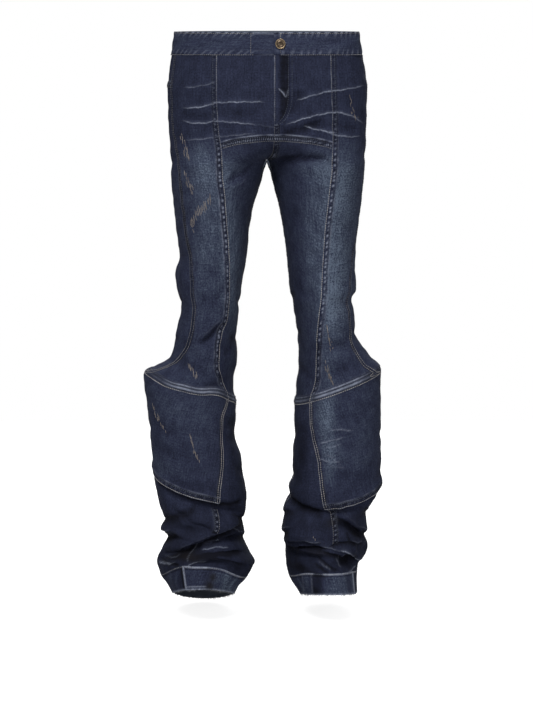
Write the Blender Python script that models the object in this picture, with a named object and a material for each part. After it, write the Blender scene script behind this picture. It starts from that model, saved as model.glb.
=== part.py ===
"""Flared jeans with boxed knee panels, in worn form: waistband, front, side, back, knee and lower-leg
pieces, hem bands and the waist button.

Metres, +Z up, the front faces -Y and the wearer's left is +X. The origin is the middle of the waistband's
top edge. Each half of the jeans is one surface of rings down the leg. A ring is a rounded box that grows
past the centre plane above the crotch and is cut off there. Every piece is a block of that surface between
two seams and two rings, with a wall of cloth behind it.
"""

import math

import bmesh
import bpy
import numpy as np

# Driving dimensions, in metres.
CLOTH = 0.0014  # wall of one layer of denim with its turnings
BAND_CLOTH = 0.0022  # waistband, two layers
SEAM_HALF = 0.0002  # each piece stops this far short of its seam
LAP_GAP = 0.0003  # air between two layers that lie on each other
BAND_WIDTH = 0.040  # waistband, top edge to seam
BAND_PROUD = 0.0008  # waistband stands this far outside the pieces below it
BAND_UNDERLAP = 0.034  # right end of the waistband, under the left end
BAND_STEPS = 40
KNEE_LAP = 0.011  # lower front goes this far up behind the knee piece
BAND_BACK_END = 262  # degrees round the band where its plain part ends, just short of the front edge
BAND_TUCK = 255  # degrees from which the band runs behind its own left end
BAND_ROWS = 4
BAND_LAP_STEPS = 5
HEM_CLOTH = 0.0021  # wall of the folded hem band
FRONT_TURN = 0.0125  # front centre line sits this far to the wearer's left
FRONT_TURN_DEPTH = 0.110  # full turn at this far in front of the side line, none at the side line
FRONT_TURN_FOOT = -0.340  # the turn has died away here
FRONT_TURN_FADE = 0.160
FRONT_SPAN = 0.098  # centre front to the long front seam, over the fly
FLY_WIDTH = 0.036
FLY_RISE = 0.0011  # the left front's fly stands this far out
FLY_EDGE = 0.12  # share of the width over which the rise fades
FLY_FOOT = -0.165
FLY_FADE = 0.020
HIP_ARCH = 0.013  # front hip seam rises this far to the centre line
HIP_ARCH_REACH = 0.045
YOKE_DROP = 0.020  # yoke seam falls this far to the centre back
YOKE_DROP_TOP = -0.042
YOKE_DROP_RUN = 0.050
YOKE_DROP_FOOT = -0.190
YOKE_DROP_FADE = 0.070
FOLD_END = 0.3  # share of a fold's length over which each end fades
SLIDE_FADE = 0.35  # sine of the angle in front of the side line where a slide is whole
BUTTON_RADIUS = 0.0085
BUTTON_TAPER = 0.86  # front of the cap against its back
BUTTON_RISE = 0.0030
BUTTON_SIDES = 20
BUTTON_SAG = 0.0011  # the band curves away under the cap
BUTTON_SIDE_WAY = 0.0105  # button's centre, to the left of the front edge

# Heights of the seams, measured down the rings.
CROTCH = -0.226
YOKE_SEAM = -0.095
HIP_SEAM = -0.197
KNEE_SEAM = -0.6095
HEM_DEPTH = 0.041

# Steps of the grid across each block of a half, and the half step of angle that normals are taken over.
FRONT_STEPS = 5
SIDE_STEPS = 6
BACK_STEPS = 10
NORMAL_NUDGE = 0.4
SHARP_ANGLE = 50


def table(columns, rows):
    """A dictionary of one array for each named column."""
    values = np.array(rows, float)
    return {name: values[:, k] for k, name in enumerate(columns.split())}


# One row for each section, top to bottom. inner and outer are the ring's reach from the centre plane,
# front and back its reach from the side line.
RIGHT_SECTIONS = table(
    "height  inner   outer   front   back",
    [
        (0.000, -0.1560, 0.1560, 0.101, 0.104),
        (-0.040, -0.1615, 0.1615, 0.107, 0.110),
        (-0.100, -0.1600, 0.1680, 0.113, 0.120),
        (-0.150, -0.1360, 0.1672, 0.115, 0.126),
        (-0.190, -0.0850, 0.1645, 0.113, 0.123),
        (-0.210, -0.0430, 0.1635, 0.110, 0.119),
        (-0.226, 0.0000, 0.1630, 0.106, 0.114),
        (-0.260, 0.0120, 0.1620, 0.101, 0.105),
        (-0.300, 0.0245, 0.1580, 0.097, 0.096),
        (-0.350, 0.0320, 0.1525, 0.092, 0.087),
        (-0.380, 0.0345, 0.1485, 0.089, 0.080),
        (-0.422, 0.0420, 0.1555, 0.086, 0.076),
        (-0.470, 0.0480, 0.1470, 0.081, 0.069),
        (-0.520, 0.0524, 0.1570, 0.078, 0.066),
        (-0.545, 0.0510, 0.1595, 0.077, 0.067),
        (-0.575, 0.0580, 0.1655, 0.077, 0.070),
        (-0.590, 0.0575, 0.1810, 0.078, 0.073),
        (-0.600, 0.0550, 0.1970, 0.079, 0.076),
        (-0.6095, 0.0534, 0.2095, 0.081, 0.079),
        (-0.620, 0.0536, 0.2110, 0.083, 0.082),
        (-0.665, 0.0545, 0.2055, 0.087, 0.089),
        (-0.700, 0.0455, 0.2025, 0.088, 0.091),
        (-0.740, 0.0400, 0.1980, 0.089, 0.091),
        (-0.776, 0.0355, 0.1955, 0.090, 0.089),
        (-0.820, 0.0400, 0.1865, 0.093, 0.087),
        (-0.846, 0.0405, 0.1775, 0.095, 0.084),
        (-0.859, 0.0390, 0.1830, 0.097, 0.084),
        (-0.869, 0.0375, 0.1725, 0.099, 0.083),
        (-0.890, 0.0310, 0.1810, 0.103, 0.084),
        (-0.911, 0.0215, 0.1900, 0.108, 0.086),
        (-0.925, 0.0300, 0.1845, 0.112, 0.086),
        (-0.945, 0.0440, 0.1730, 0.116, 0.084),
        (-0.966, 0.0560, 0.1620, 0.119, 0.082),
    ],
)
LEFT_SECTIONS = table(
    "height  inner   outer   front   back",
    [
        (0.000, -0.1560, 0.1560, 0.101, 0.104),
        (-0.040, -0.1615, 0.1615, 0.107, 0.110),
        (-0.100, -0.1610, 0.1695, 0.113, 0.120),
        (-0.150, -0.1360, 0.1683, 0.115, 0.126),
        (-0.190, -0.0850, 0.1675, 0.113, 0.123),
        (-0.210, -0.0430, 0.1668, 0.110, 0.119),
        (-0.226, 0.0015, 0.1663, 0.106, 0.114),
        (-0.260, 0.0130, 0.1635, 0.101, 0.105),
        (-0.300, 0.0230, 0.1600, 0.097, 0.096),
        (-0.350, 0.0317, 0.1540, 0.092, 0.087),
        (-0.400, 0.0375, 0.1517, 0.088, 0.078),
        (-0.437, 0.0405, 0.1540, 0.085, 0.074),
        (-0.457, 0.0445, 0.1467, 0.082, 0.070),
        (-0.475, 0.0485, 0.1500, 0.080, 0.068),
        (-0.520, 0.0540, 0.1540, 0.078, 0.066),
        (-0.540, 0.0560, 0.1610, 0.077, 0.067),
        (-0.560, 0.0560, 0.1715, 0.077, 0.069),
        (-0.575, 0.0530, 0.1800, 0.077, 0.071),
        (-0.592, 0.0515, 0.1925, 0.079, 0.075),
        (-0.6095, 0.0490, 0.1955, 0.082, 0.079),
        (-0.665, 0.0485, 0.1970, 0.088, 0.089),
        (-0.700, 0.0460, 0.1975, 0.089, 0.091),
        (-0.740, 0.0460, 0.1978, 0.090, 0.091),
        (-0.765, 0.0395, 0.1980, 0.091, 0.090),
        (-0.784, 0.0420, 0.1975, 0.091, 0.088),
        (-0.800, 0.0320, 0.1900, 0.092, 0.087),
        (-0.820, 0.0290, 0.1780, 0.094, 0.085),
        (-0.845, 0.0286, 0.1735, 0.096, 0.084),
        (-0.868, 0.0290, 0.1725, 0.099, 0.083),
        (-0.881, 0.0335, 0.1755, 0.101, 0.083),
        (-0.902, 0.0340, 0.1690, 0.106, 0.085),
        (-0.912, 0.0345, 0.1595, 0.108, 0.086),
        (-0.925, 0.0370, 0.1565, 0.112, 0.086),
        (-0.945, 0.0460, 0.1555, 0.116, 0.084),
        (-0.965, 0.0580, 0.1560, 0.119, 0.082),
    ],
)

# How far each ring is tipped: lift at the outer side (and as much fall at the inner side), lift at the
# front (and fall at the back), and the power that squares its corners.
RIGHT_TIPS = table(
    "height  side    front   square",
    [
        (0.000, 0.0000, -0.004, 2.5),
        (-0.100, 0.0000, 0.000, 2.4),
        (-0.226, 0.0000, 0.000, 2.2),
        (-0.500, 0.0000, 0.000, 2.1),
        (-0.560, 0.0150, 0.000, 2.0),
        (-0.6095, 0.0275, 0.000, 2.0),
        (-0.700, 0.0260, -0.006, 2.2),
        (-0.776, 0.0240, -0.012, 2.2),
        (-0.925, 0.0000, 0.024, 2.2),
        (-0.966, 0.0000, 0.028, 2.3),
    ],
)
LEFT_TIPS = table(
    "height  side    front   square",
    [
        (0.000, 0.0000, -0.004, 2.5),
        (-0.100, 0.0000, 0.000, 2.4),
        (-0.226, 0.0000, 0.000, 2.2),
        (-0.500, 0.0000, 0.000, 2.1),
        (-0.560, 0.0150, 0.000, 2.0),
        (-0.6095, 0.0275, 0.000, 2.0),
        (-0.700, 0.0220, -0.008, 2.2),
        (-0.784, 0.0130, -0.019, 2.2),
        (-0.925, 0.0000, 0.016, 2.2),
        (-0.965, 0.0000, 0.018, 2.3),
    ],
)

# The long front seam's distance from the centre plane, and the side seam's angle: 0 is straight out to
# the side, -90 the front, 90 the back.
RIGHT_SEAMS = table(
    "height  front_seam  side_seam",
    [
        (0.000, 0.0930, -15),
        (-0.040, 0.0940, -14),
        (-0.100, 0.0945, -14),
        (-0.165, 0.0915, -15),
        (-0.200, 0.0860, -21),
        (-0.240, 0.0810, -31),
        (-0.282, 0.0720, -38),
        (-0.349, 0.0640, -45),
        (-0.400, 0.0620, -53),
        (-0.422, 0.0622, -60),
        (-0.450, 0.0630, -58),
        (-0.487, 0.0670, -58),
        (-0.508, 0.0745, -60),
        (-0.530, 0.0790, -55),
        (-0.560, 0.0800, -41),
        (-0.580, 0.0740, -30),
        (-0.600, 0.0670, -21),
        (-0.6095, 0.0655, 2),
        (-0.640, 0.0740, 14),
        (-0.665, 0.0750, 24),
        (-0.700, 0.0730, 32),
        (-0.776, 0.0800, 38),
        (-0.811, 0.0820, 38),
        (-0.857, 0.0900, 34),
        (-0.893, 0.1240, 30),
        (-0.915, 0.1400, 30),
        (-0.966, 0.1350, 30),
    ],
)
LEFT_SEAMS = table(
    "height  front_seam  side_seam",
    [
        (0.000, 0.0930, -8),
        (-0.040, 0.0940, -6),
        (-0.100, 0.0950, -6),
        (-0.165, 0.0975, -6),
        (-0.200, 0.0970, -8),
        (-0.240, 0.0990, -10),
        (-0.290, 0.0990, -10),
        (-0.349, 0.0960, -14),
        (-0.370, 0.0947, -24),
        (-0.400, 0.0930, -31),
        (-0.440, 0.0915, -38),
        (-0.485, 0.0870, -35),
        (-0.510, 0.0850, -36),
        (-0.545, 0.0840, -40),
        (-0.575, 0.0830, -40),
        (-0.600, 0.0752, -27),
        (-0.6095, 0.0735, 2),
        (-0.640, 0.0740, 14),
        (-0.665, 0.0770, 24),
        (-0.700, 0.0850, 32),
        (-0.780, 0.0970, 38),
        (-0.800, 0.1080, 38),
        (-0.840, 0.1120, 34),
        (-0.873, 0.1110, 32),
        (-0.900, 0.1270, 32),
        (-0.925, 0.1400, 34),
        (-0.965, 0.1420, 34),
    ],
)

# The largest folds. Each runs from one angle and height to another; depth is out (+) or in (-), reach is
# half its width.
RIGHT_FOLDS = table(
    "from_deg from_height to_deg to_height depth reach",
    [
        (-98, -0.238, -150, -0.228, -0.0035, 0.010),
        (-128, -0.497, -78, -0.534, -0.0045, 0.008),
        (-15, -0.400, 60, -0.410, 0.0030, 0.016),
        (10, -0.236, 160, -0.232, -0.0045, 0.012),
        (20, -0.300, 130, -0.270, -0.0030, 0.014),
        (15, -0.468, 130, -0.490, -0.0050, 0.013),
        (50, -0.530, 170, -0.515, -0.0055, 0.012),
        (20, -0.573, 120, -0.560, -0.0050, 0.010),
        (-25, -0.790, -175, -0.790, -0.0075, 0.008),
        (-30, -0.822, -165, -0.816, 0.0050, 0.016),
        (-45, -0.805, -110, -0.838, -0.0035, 0.008),
        (-5, -0.876, -60, -0.866, -0.0060, 0.008),
        (-5, -0.903, -105, -0.889, -0.0100, 0.009),
        (-85, -0.893, -174, -0.838, -0.0100, 0.009),
        (-60, -0.907, -160, -0.902, 0.0040, 0.008),
        (-70, -0.919, -160, -0.918, -0.0050, 0.006),
        (30, -0.700, 150, -0.720, -0.0045, 0.014),
        (25, -0.780, 160, -0.765, -0.0075, 0.011),
        (15, -0.835, 120, -0.812, -0.0090, 0.010),
        (70, -0.862, 175, -0.842, -0.0095, 0.010),
        (10, -0.900, 130, -0.886, -0.0090, 0.010),
    ],
)
LEFT_FOLDS = table(
    "from_deg from_height to_deg to_height depth reach",
    [
        (-118, -0.214, -72, -0.219, -0.0045, 0.008),
        (-86, -0.176, -52, -0.152, -0.0025, 0.009),
        (-45, -0.545, -95, -0.525, -0.0030, 0.010),
        (10, -0.232, 150, -0.238, -0.0045, 0.012),
        (30, -0.262, 140, -0.300, -0.0030, 0.014),
        (10, -0.457, 120, -0.480, -0.0055, 0.011),
        (60, -0.515, 170, -0.532, -0.0055, 0.012),
        (25, -0.562, 110, -0.572, -0.0050, 0.010),
        (-20, -0.798, -172, -0.792, -0.0075, 0.008),
        (-85, -0.832, -170, -0.838, 0.0055, 0.018),
        (-84, -0.820, -16, -0.869, -0.0085, 0.008),
        (-52, -0.883, -5, -0.889, -0.0065, 0.008),
        (-178, -0.893, -80, -0.905, -0.0100, 0.009),
        (-88, -0.901, -18, -0.913, -0.0095, 0.009),
        (-150, -0.879, -70, -0.888, 0.0040, 0.008),
        (30, -0.690, 150, -0.705, -0.0045, 0.014),
        (20, -0.762, 160, -0.780, -0.0075, 0.011),
        (20, -0.812, 130, -0.838, -0.0090, 0.010),
        (80, -0.852, 175, -0.866, -0.0095, 0.010),
        (5, -0.893, 135, -0.902, -0.0090, 0.010),
    ],
)

# Places where the front's seams run higher or lower than their ring: height and half height, the angle's
# cosine and its half width, and the shift.
SLIDE = "height reach side spread shift"
RIGHT_SLIDES = table(
    SLIDE,
    [
        (-0.6095, 0.035, -0.62, 0.34, 0.011),
        (-0.6095, 0.030, 0.50, 0.30, -0.004),
        (-0.9250, 0.026, -0.85, 0.40, -0.014),
        (-0.9250, 0.026, 0.95, 0.25, -0.009),
        (-0.9250, 0.020, 0.40, 0.20, 0.003),
    ],
)
LEFT_SLIDES = table(
    SLIDE,
    [
        (-0.9240, 0.026, -0.95, 0.35, -0.008),
        (-0.9240, 0.026, 0.20, 0.80, -0.004),
    ],
)

LEGS = {
    "right": {
        "mirror": -1,
        "sections": RIGHT_SECTIONS,
        "tips": RIGHT_TIPS,
        "seams": RIGHT_SEAMS,
        "folds": RIGHT_FOLDS,
        "slides": RIGHT_SLIDES,
        "knee_edge": -0.776,
        "hem": -0.966,
    },
    "left": {
        "mirror": 1,
        "sections": LEFT_SECTIONS,
        "tips": LEFT_TIPS,
        "seams": LEFT_SEAMS,
        "folds": LEFT_FOLDS,
        "slides": LEFT_SLIDES,
        "knee_edge": -0.784,
        "hem": -0.965,
    },
}

DENIM = (0.018, 0.026, 0.060)
FADED = (0.045, 0.068, 0.105)
METAL = (0.30, 0.26, 0.22)


def smooth(columns, name, height):
    """Reads a column at any height: a monotone cubic through the table's rows."""
    down = -columns["height"]
    value = columns[name]
    step = np.diff(down)
    rise = np.diff(value) / step
    slope = np.zeros_like(value)
    same_way = rise[1:] * rise[:-1] > 0
    weight_a = 2 * step[1:] + step[:-1]
    weight_b = step[1:] + 2 * step[:-1]
    safe_a = np.where(same_way, rise[:-1], 1.0)
    safe_b = np.where(same_way, rise[1:], 1.0)
    mean = (weight_a + weight_b) / (weight_a / safe_a + weight_b / safe_b)
    slope[1:-1] = np.where(same_way, mean, 0.0)
    slope[0], slope[-1] = rise[0], rise[-1]
    at = np.clip(-np.asarray(height, float), down[0], down[-1])
    k = np.clip(np.searchsorted(down, at, side="right") - 1, 0, len(step) - 1)
    t = (at - down[k]) / step[k]
    t2, t3 = t * t, t * t * t
    return (
        value[k] * (2 * t3 - 3 * t2 + 1)
        + slope[k] * step[k] * (t3 - 2 * t2 + t)
        + value[k + 1] * (3 * t2 - 2 * t3)
        + slope[k + 1] * step[k] * (t3 - t2)
    )


def bell(distance):
    """1 in the middle and 0 far away."""
    return np.exp(-distance * distance)


def ease(t):
    """0 below 0, 1 above 1 and a soft step between."""
    t = np.clip(t, 0.0, 1.0)
    return t * t * (3 - 2 * t)


def signed_power(value, power):
    return np.sign(value) * np.abs(value) ** power


def fold_depth(folds, degrees, height):
    """Sum of all folds: each is a bell across a straight line in angle and height, faded at both ends."""
    total = np.zeros_like(degrees)
    for k in range(len(folds["depth"])):
        span = folds["to_deg"][k] - folds["from_deg"][k]
        along = (degrees - folds["from_deg"][k]) / span
        middle = folds["from_height"][k] + (folds["to_height"][k] - folds["from_height"][k]) * along
        fade = ease(along / FOLD_END) * ease((1 - along) / FOLD_END)
        total += folds["depth"][k] * fade * bell((height - middle) / folds["reach"][k])
    return total


def slide(slides, cosine, sine, height):
    """Sum of all slides on the front: each is a bell in height times a bell in the cosine of the angle."""
    total = np.zeros_like(cosine)
    for k in range(len(slides["shift"])):
        near = bell((height - slides["height"][k]) / slides["reach"][k])
        total += slides["shift"][k] * near * bell((cosine - slides["side"][k]) / slides["spread"][k])
    return total * ease(-sine / SLIDE_FADE)


def seam_angles(leg, height):
    """Angles of the centre front, long front seam, side seam and centre back, one row for each height."""
    inner = smooth(leg["sections"], "inner", height)
    outer = smooth(leg["sections"], "outer", height)
    square = smooth(leg["tips"], "square", height)
    middle, half = (outer + inner) / 2, (outer - inner) / 2
    cut = np.clip(middle / half, 0.0, 1.0)
    centre = np.degrees(np.arccos(-(cut ** (square / 2))))
    reach = np.clip((smooth(leg["seams"], "front_seam", height) - middle) / half, -0.97, 0.97)
    front = -np.degrees(np.arccos(signed_power(reach, square / 2)))
    side = smooth(leg["seams"], "side_seam", height)
    return np.stack([-centre, front, side, centre], axis=-1)


def front_turn(y, height):
    """How far the front is twisted to the wearer's left at a depth y and a height."""
    return FRONT_TURN * ease(-y / FRONT_TURN_DEPTH) * ease((height - FRONT_TURN_FOOT) / FRONT_TURN_FADE)


def leg_surface(leg, degrees, height, across):
    """Points of one half of the jeans. degrees and height are arrays; across is 0 at the centre front and 1
    at the long front seam, for the arch of the hip seam and the rise of the fly."""
    sections, tips = leg["sections"], leg["tips"]
    inner = smooth(sections, "inner", height)
    outer = smooth(sections, "outer", height)
    square = smooth(tips, "square", height)
    angle = np.radians(degrees)
    cosine, sine = np.cos(angle), np.sin(angle)
    depth = np.where(sine < 0, smooth(sections, "front", height), smooth(sections, "back", height))
    out = fold_depth(leg["folds"], degrees, height)
    if leg["mirror"] > 0:
        fly = ease((1 - across * FRONT_SPAN / FLY_WIDTH) / FLY_EDGE) * ease((height - FLY_FOOT) / FLY_FADE)
        out = out + FLY_RISE * fly * (height > HIP_SEAM)
    half = (outer - inner) / 2
    x = (outer + inner) / 2 + (half + out) * signed_power(cosine, 2 / square)
    y = (depth + out) * signed_power(sine, 2 / square)
    z = height + smooth(tips, "side", height) * cosine - smooth(tips, "front", height) * sine
    z += HIP_ARCH * np.clip(1 - across**2, 0, 1) * bell((height - HIP_SEAM) / HIP_ARCH_REACH)
    drop = ease((YOKE_DROP_TOP - height) / YOKE_DROP_RUN) * ease((height - YOKE_DROP_FOOT) / YOKE_DROP_FADE)
    z -= YOKE_DROP * np.clip(sine, 0, 1) ** 2 * drop
    z += slide(leg["slides"], cosine, sine, height)
    x = np.maximum(x, SEAM_HALF) * leg["mirror"] + front_turn(y, height)
    return np.stack([x, y, z], axis=-1)


def ring_heights(leg):
    """Heights of the rings: even steps between the seams, closer at the crotch, the knee and the hem."""
    # Top, bottom and number of steps of each stretch.
    stops = [
        (-BAND_WIDTH, YOKE_SEAM, 3),
        (YOKE_SEAM, HIP_SEAM, 4),
        (HIP_SEAM, CROTCH + 0.010, 3),
        (CROTCH + 0.010, CROTCH, 3),
        (CROTCH, -0.250, 2),
        (-0.250, -0.490, 9),
        (-0.490, -0.570, 5),
        (-0.570, KNEE_SEAM, 4),
        (KNEE_SEAM, leg["knee_edge"] + 3 * KNEE_LAP, 6),
        (leg["knee_edge"] + 3 * KNEE_LAP, leg["knee_edge"], 3),
        (leg["knee_edge"], leg["hem"] + HEM_DEPTH, 16),
        (leg["hem"] + HEM_DEPTH, leg["hem"], 2),
    ]
    heights = [-BAND_WIDTH]
    for top, bottom, steps in stops:
        heights += [top + (bottom - top) * (k + 1) / steps for k in range(steps)]
    return np.array(heights)


def leg_grid(leg):
    """The half's points, its normals, the ring heights and the columns of its three seams."""
    heights = ring_heights(leg)
    corners = seam_angles(leg, heights)
    blocks = []
    for block, steps in enumerate((FRONT_STEPS, SIDE_STEPS, BACK_STEPS)):
        t = np.arange(steps) / steps
        blocks.append(corners[:, block, None] * (1 - t) + corners[:, block + 1, None] * t)
    degrees = np.concatenate(blocks + [corners[:, 3:]], axis=1)
    across = np.ones(degrees.shape[1])
    across[: FRONT_STEPS + 1] = np.arange(FRONT_STEPS + 1) / FRONT_STEPS
    height = np.broadcast_to(heights[:, None], degrees.shape)
    points = leg_surface(leg, degrees, height, across)
    ahead = leg_surface(leg, degrees + NORMAL_NUDGE, height, across)
    ahead -= leg_surface(leg, degrees - NORMAL_NUDGE, height, across)
    ahead[:, 0] = points[:, 1] - points[:, 0]
    ahead[:, -1] = points[:, -1] - points[:, -2]
    closed = heights <= CROTCH
    around = points[closed, 1] - points[closed, -2]
    ahead[closed, 0] = around
    ahead[closed, -1] = around
    down = np.gradient(points, axis=0)
    normal = np.cross(down, ahead) * leg["mirror"]
    normal /= np.linalg.norm(normal, axis=-1, keepdims=True)
    return points, normal, heights


def pull_in(grid):
    """Moves the four edges of a block of points inwards by the seam's half gap."""
    grid = grid.copy()
    for axis in (0, 1):
        rows = np.moveaxis(grid, axis, 0)
        for edge, beside in ((0, 1), (-1, -2)):
            step = rows[beside] - rows[edge]
            length = np.maximum(np.linalg.norm(step, axis=-1, keepdims=True), 1e-6)
            rows[edge] += step / length * SEAM_HALF
    return grid


def shell(name, outer, inner, colour, roughness=0.8, ring=False):
    """A closed wall between two grids of points. A ring's first and last columns are the same."""
    rows, columns = outer.shape[:2]
    count = rows * columns
    points = np.concatenate([outer.reshape(-1, 3), inner.reshape(-1, 3)])
    index = np.arange(count).reshape(rows, columns)
    following = np.roll(index, -1, axis=1)
    last = columns if ring else columns - 1
    a, b = index[:-1, :last], following[:-1, :last]
    c, d = following[1:, :last], index[1:, :last]
    faces = np.stack([a, b, c, d], axis=-1).reshape(-1, 4)
    walls = [faces, faces[:, ::-1] + count]
    for edge, turn in ((0, 1), (rows - 1, -1)):
        here, there = index[edge, :last], following[edge, :last]
        rim = np.stack([here, here + count, there + count, there], axis=-1)
        walls.append(rim[:, ::turn])
    if not ring:
        for edge, turn in ((0, -1), (columns - 1, 1)):
            here, there = index[:-1, edge], index[1:, edge]
            rim = np.stack([here, here + count, there + count, there], axis=-1)
            walls.append(rim[:, ::turn])
    mesh = bpy.data.meshes.new(name)
    mesh.from_pydata(points.tolist(), [], np.concatenate(walls).tolist())
    mesh.validate()
    return add_object(name, mesh, colour, roughness)


def add_object(name, mesh, colour, roughness, metallic=0.0):
    """Turns the faces outwards, splits them to triangles and gives the object its material."""
    work = bmesh.new()
    work.from_mesh(mesh)
    bmesh.ops.recalc_face_normals(work, faces=work.faces)
    bmesh.ops.triangulate(work, faces=work.faces, quad_method="SHORT_EDGE")
    work.to_mesh(mesh)
    work.free()
    mesh.shade_smooth()
    mesh.set_sharp_from_angle(angle=math.radians(SHARP_ANGLE))
    material = bpy.data.materials.get(f"{name}_finish") or bpy.data.materials.new(f"{name}_finish")
    material.use_nodes = True
    shader = material.node_tree.nodes["Principled BSDF"]
    shader.inputs["Base Color"].default_value = (*colour, 1)
    shader.inputs["Roughness"].default_value = roughness
    shader.inputs["Metallic"].default_value = metallic
    mesh.materials.append(material)
    obj = bpy.data.objects.new(name, mesh)
    collection.objects.link(obj)
    return obj


def add_block(name, leg, grid, rows, columns, colour, proud=None):
    """One sewn piece: a block of the half's grid, moved out by proud where it lies on another piece."""
    points, normal, heights = grid
    points = points[rows, columns]
    normal = normal[rows, columns]
    if proud is not None:
        points = points + normal * proud[rows, None, None]
    outer = pull_in(points)
    inner = pull_in(points - normal * CLOTH)
    if heights[rows][0] > CROTCH:
        # Above the crotch a wall that leans towards the other half stops at the centre plane.
        turn = front_turn(inner[..., 1], inner[..., 2])
        limit = np.maximum((inner[..., 0] - turn) * leg["mirror"], SEAM_HALF)
        inner[..., 0] = limit * leg["mirror"] + turn
    return shell(name, outer, inner, colour)


def add_leg(side, leg):
    """All pieces of one half, from the yoke and the hip to the hem band."""
    grid = leg_grid(leg)
    heights = grid[2]

    def row(height):
        return int(np.argmin(np.abs(heights - height)))

    yoke, hip, knee = row(YOKE_SEAM), row(HIP_SEAM), row(KNEE_SEAM)
    edge, hem = row(leg["knee_edge"]), row(leg["hem"] + HEM_DEPTH)
    front = slice(0, FRONT_STEPS + 1)
    outside = slice(FRONT_STEPS, FRONT_STEPS + SIDE_STEPS + 1)
    back = slice(FRONT_STEPS + SIDE_STEPS, None)

    # The knee piece rises over the top of the lower front in two rows, the first a little over half way.
    layer = CLOTH + LAP_GAP + 2 * SEAM_HALF
    lap = np.where(np.arange(len(heights)) >= edge - 1, layer, 0.0)
    lap[edge - 2] = layer * 0.55

    add_block(f"front_hip_{side}", leg, grid, slice(0, hip + 1), front, DENIM)
    add_block(f"front_thigh_inner_{side}", leg, grid, slice(hip, knee + 1), front, FADED)
    add_block(f"front_thigh_outer_{side}", leg, grid, slice(0, knee + 1), outside, FADED)
    add_block(f"back_yoke_{side}", leg, grid, slice(0, yoke + 1), back, DENIM)
    add_block(f"back_thigh_{side}", leg, grid, slice(yoke, knee + 1), back, DENIM)
    add_block(f"knee_panel_{side}", leg, grid, slice(knee, edge + 1), outside, FADED, lap)
    add_block(f"front_lower_inner_{side}", leg, grid, slice(knee, hem + 1), front, DENIM)
    add_block(f"front_lower_outer_{side}", leg, grid, slice(edge - 1, hem + 1), outside, DENIM)
    add_block(f"back_lower_{side}", leg, grid, slice(knee, hem + 1), back, DENIM)
    add_hem(side, grid, hem)


def add_hem(side, grid, hem):
    """The folded band at the foot of a leg: one ring, closed at the inside of the leg."""
    points, normal, _ = grid
    points = points[hem:, :-1]
    normal = normal[hem:, :-1]
    walls = np.stack([points, points - normal * HEM_CLOTH])
    for wall in walls:
        step = wall[1] - wall[0]
        wall[0] += step / np.linalg.norm(step, axis=-1, keepdims=True) * SEAM_HALF
    shell(f"hem_band_{side}", walls[0], walls[1], FADED, ring=True)


def band_points(turn, depth, inset):
    """Waistband points. turn is the way round in degrees, 0 at the wearer's left and -90 at the front edge;
    depth is 0 at the top edge and 1 at the seam; inset moves them in from the outer face."""
    sections, tips = LEFT_SECTIONS, LEFT_TIPS
    height = -BAND_WIDTH * depth
    square = smooth(tips, "square", height)
    angle = np.radians(turn)
    cosine, sine = np.cos(angle), np.sin(angle)
    reach = np.where(sine < 0, smooth(sections, "front", height), smooth(sections, "back", height))
    x = (smooth(sections, "outer", height) + BAND_PROUD - inset) * signed_power(cosine, 2 / square)
    y = (reach + BAND_PROUD - inset) * signed_power(sine, 2 / square)
    z = height - smooth(tips, "front", height) * sine
    x = x + FRONT_TURN * ease(-y / FRONT_TURN_DEPTH)
    z = z + np.where(depth == 1, 2 * SEAM_HALF, 0.0)
    return np.stack([x, y, z], axis=-1)


def band_turn(distance):
    """Degrees round the waistband from the front edge to a place that far beside it."""
    share = distance / LEFT_SECTIONS["outer"][0]
    return math.degrees(math.asin(share ** (LEFT_TIPS["square"][0] / 2)))


def add_waistband():
    """A straight band round the top. Its right end goes on behind the left end, where the button closes it."""
    under = np.linspace(270, 270 + band_turn(BAND_UNDERLAP), BAND_LAP_STEPS)
    turns = np.concatenate([np.linspace(-90, BAND_BACK_END, BAND_STEPS), under])
    behind = np.where(turns > BAND_TUCK, BAND_CLOTH + LAP_GAP, 0.0)
    turn, depth = np.meshgrid(turns, np.linspace(0, 1, BAND_ROWS))
    inset = np.broadcast_to(behind, turn.shape)
    outer = band_points(turn, depth, inset)
    inner = band_points(turn, depth, inset + BAND_CLOTH)
    shell("waistband", outer, inner, DENIM)


def add_button():
    """A shank button at the middle of the waistband's left end: a turned cap over a short neck."""
    turn = band_turn(BUTTON_SIDE_WAY) - 90
    here = band_points(np.array([turn]), np.array([0.5]), np.array([0.0]))[0]
    beside = band_points(np.array([turn + 1.0]), np.array([0.5]), np.array([0.0]))[0]
    work = bmesh.new()
    bmesh.ops.create_cone(
        work,
        cap_ends=True,
        segments=BUTTON_SIDES,
        radius1=BUTTON_RADIUS,
        radius2=BUTTON_RADIUS * BUTTON_TAPER,
        depth=BUTTON_RISE,
    )
    mesh = bpy.data.meshes.new("waist_button")
    work.to_mesh(mesh)
    work.free()
    along = np.append(beside[:2] - here[:2], 0.0)
    along /= np.linalg.norm(along)
    out = np.array([along[1], -along[0], 0.0])
    up = np.array([0.0, 0.0, 1.0])
    centre = here + out * (BUTTON_RISE / 2 + LAP_GAP + BUTTON_SAG)
    flat = np.array([tuple(v.co) for v in mesh.vertices])
    placed = centre + flat[:, :1] * along + flat[:, 1:2] * up + flat[:, 2:] * out
    mesh.vertices.foreach_set("co", placed.astype(np.float32).ravel())
    add_object("waist_button", mesh, METAL, 0.35, metallic=1.0)


for old in list(bpy.data.objects):
    bpy.data.objects.remove(old, do_unlink=True)
collection = bpy.data.collections.new("flared_jeans")
bpy.context.scene.collection.children.link(collection)

add_waistband()
add_button()
for side_name, half in LEGS.items():
    add_leg(side_name, half)
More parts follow.
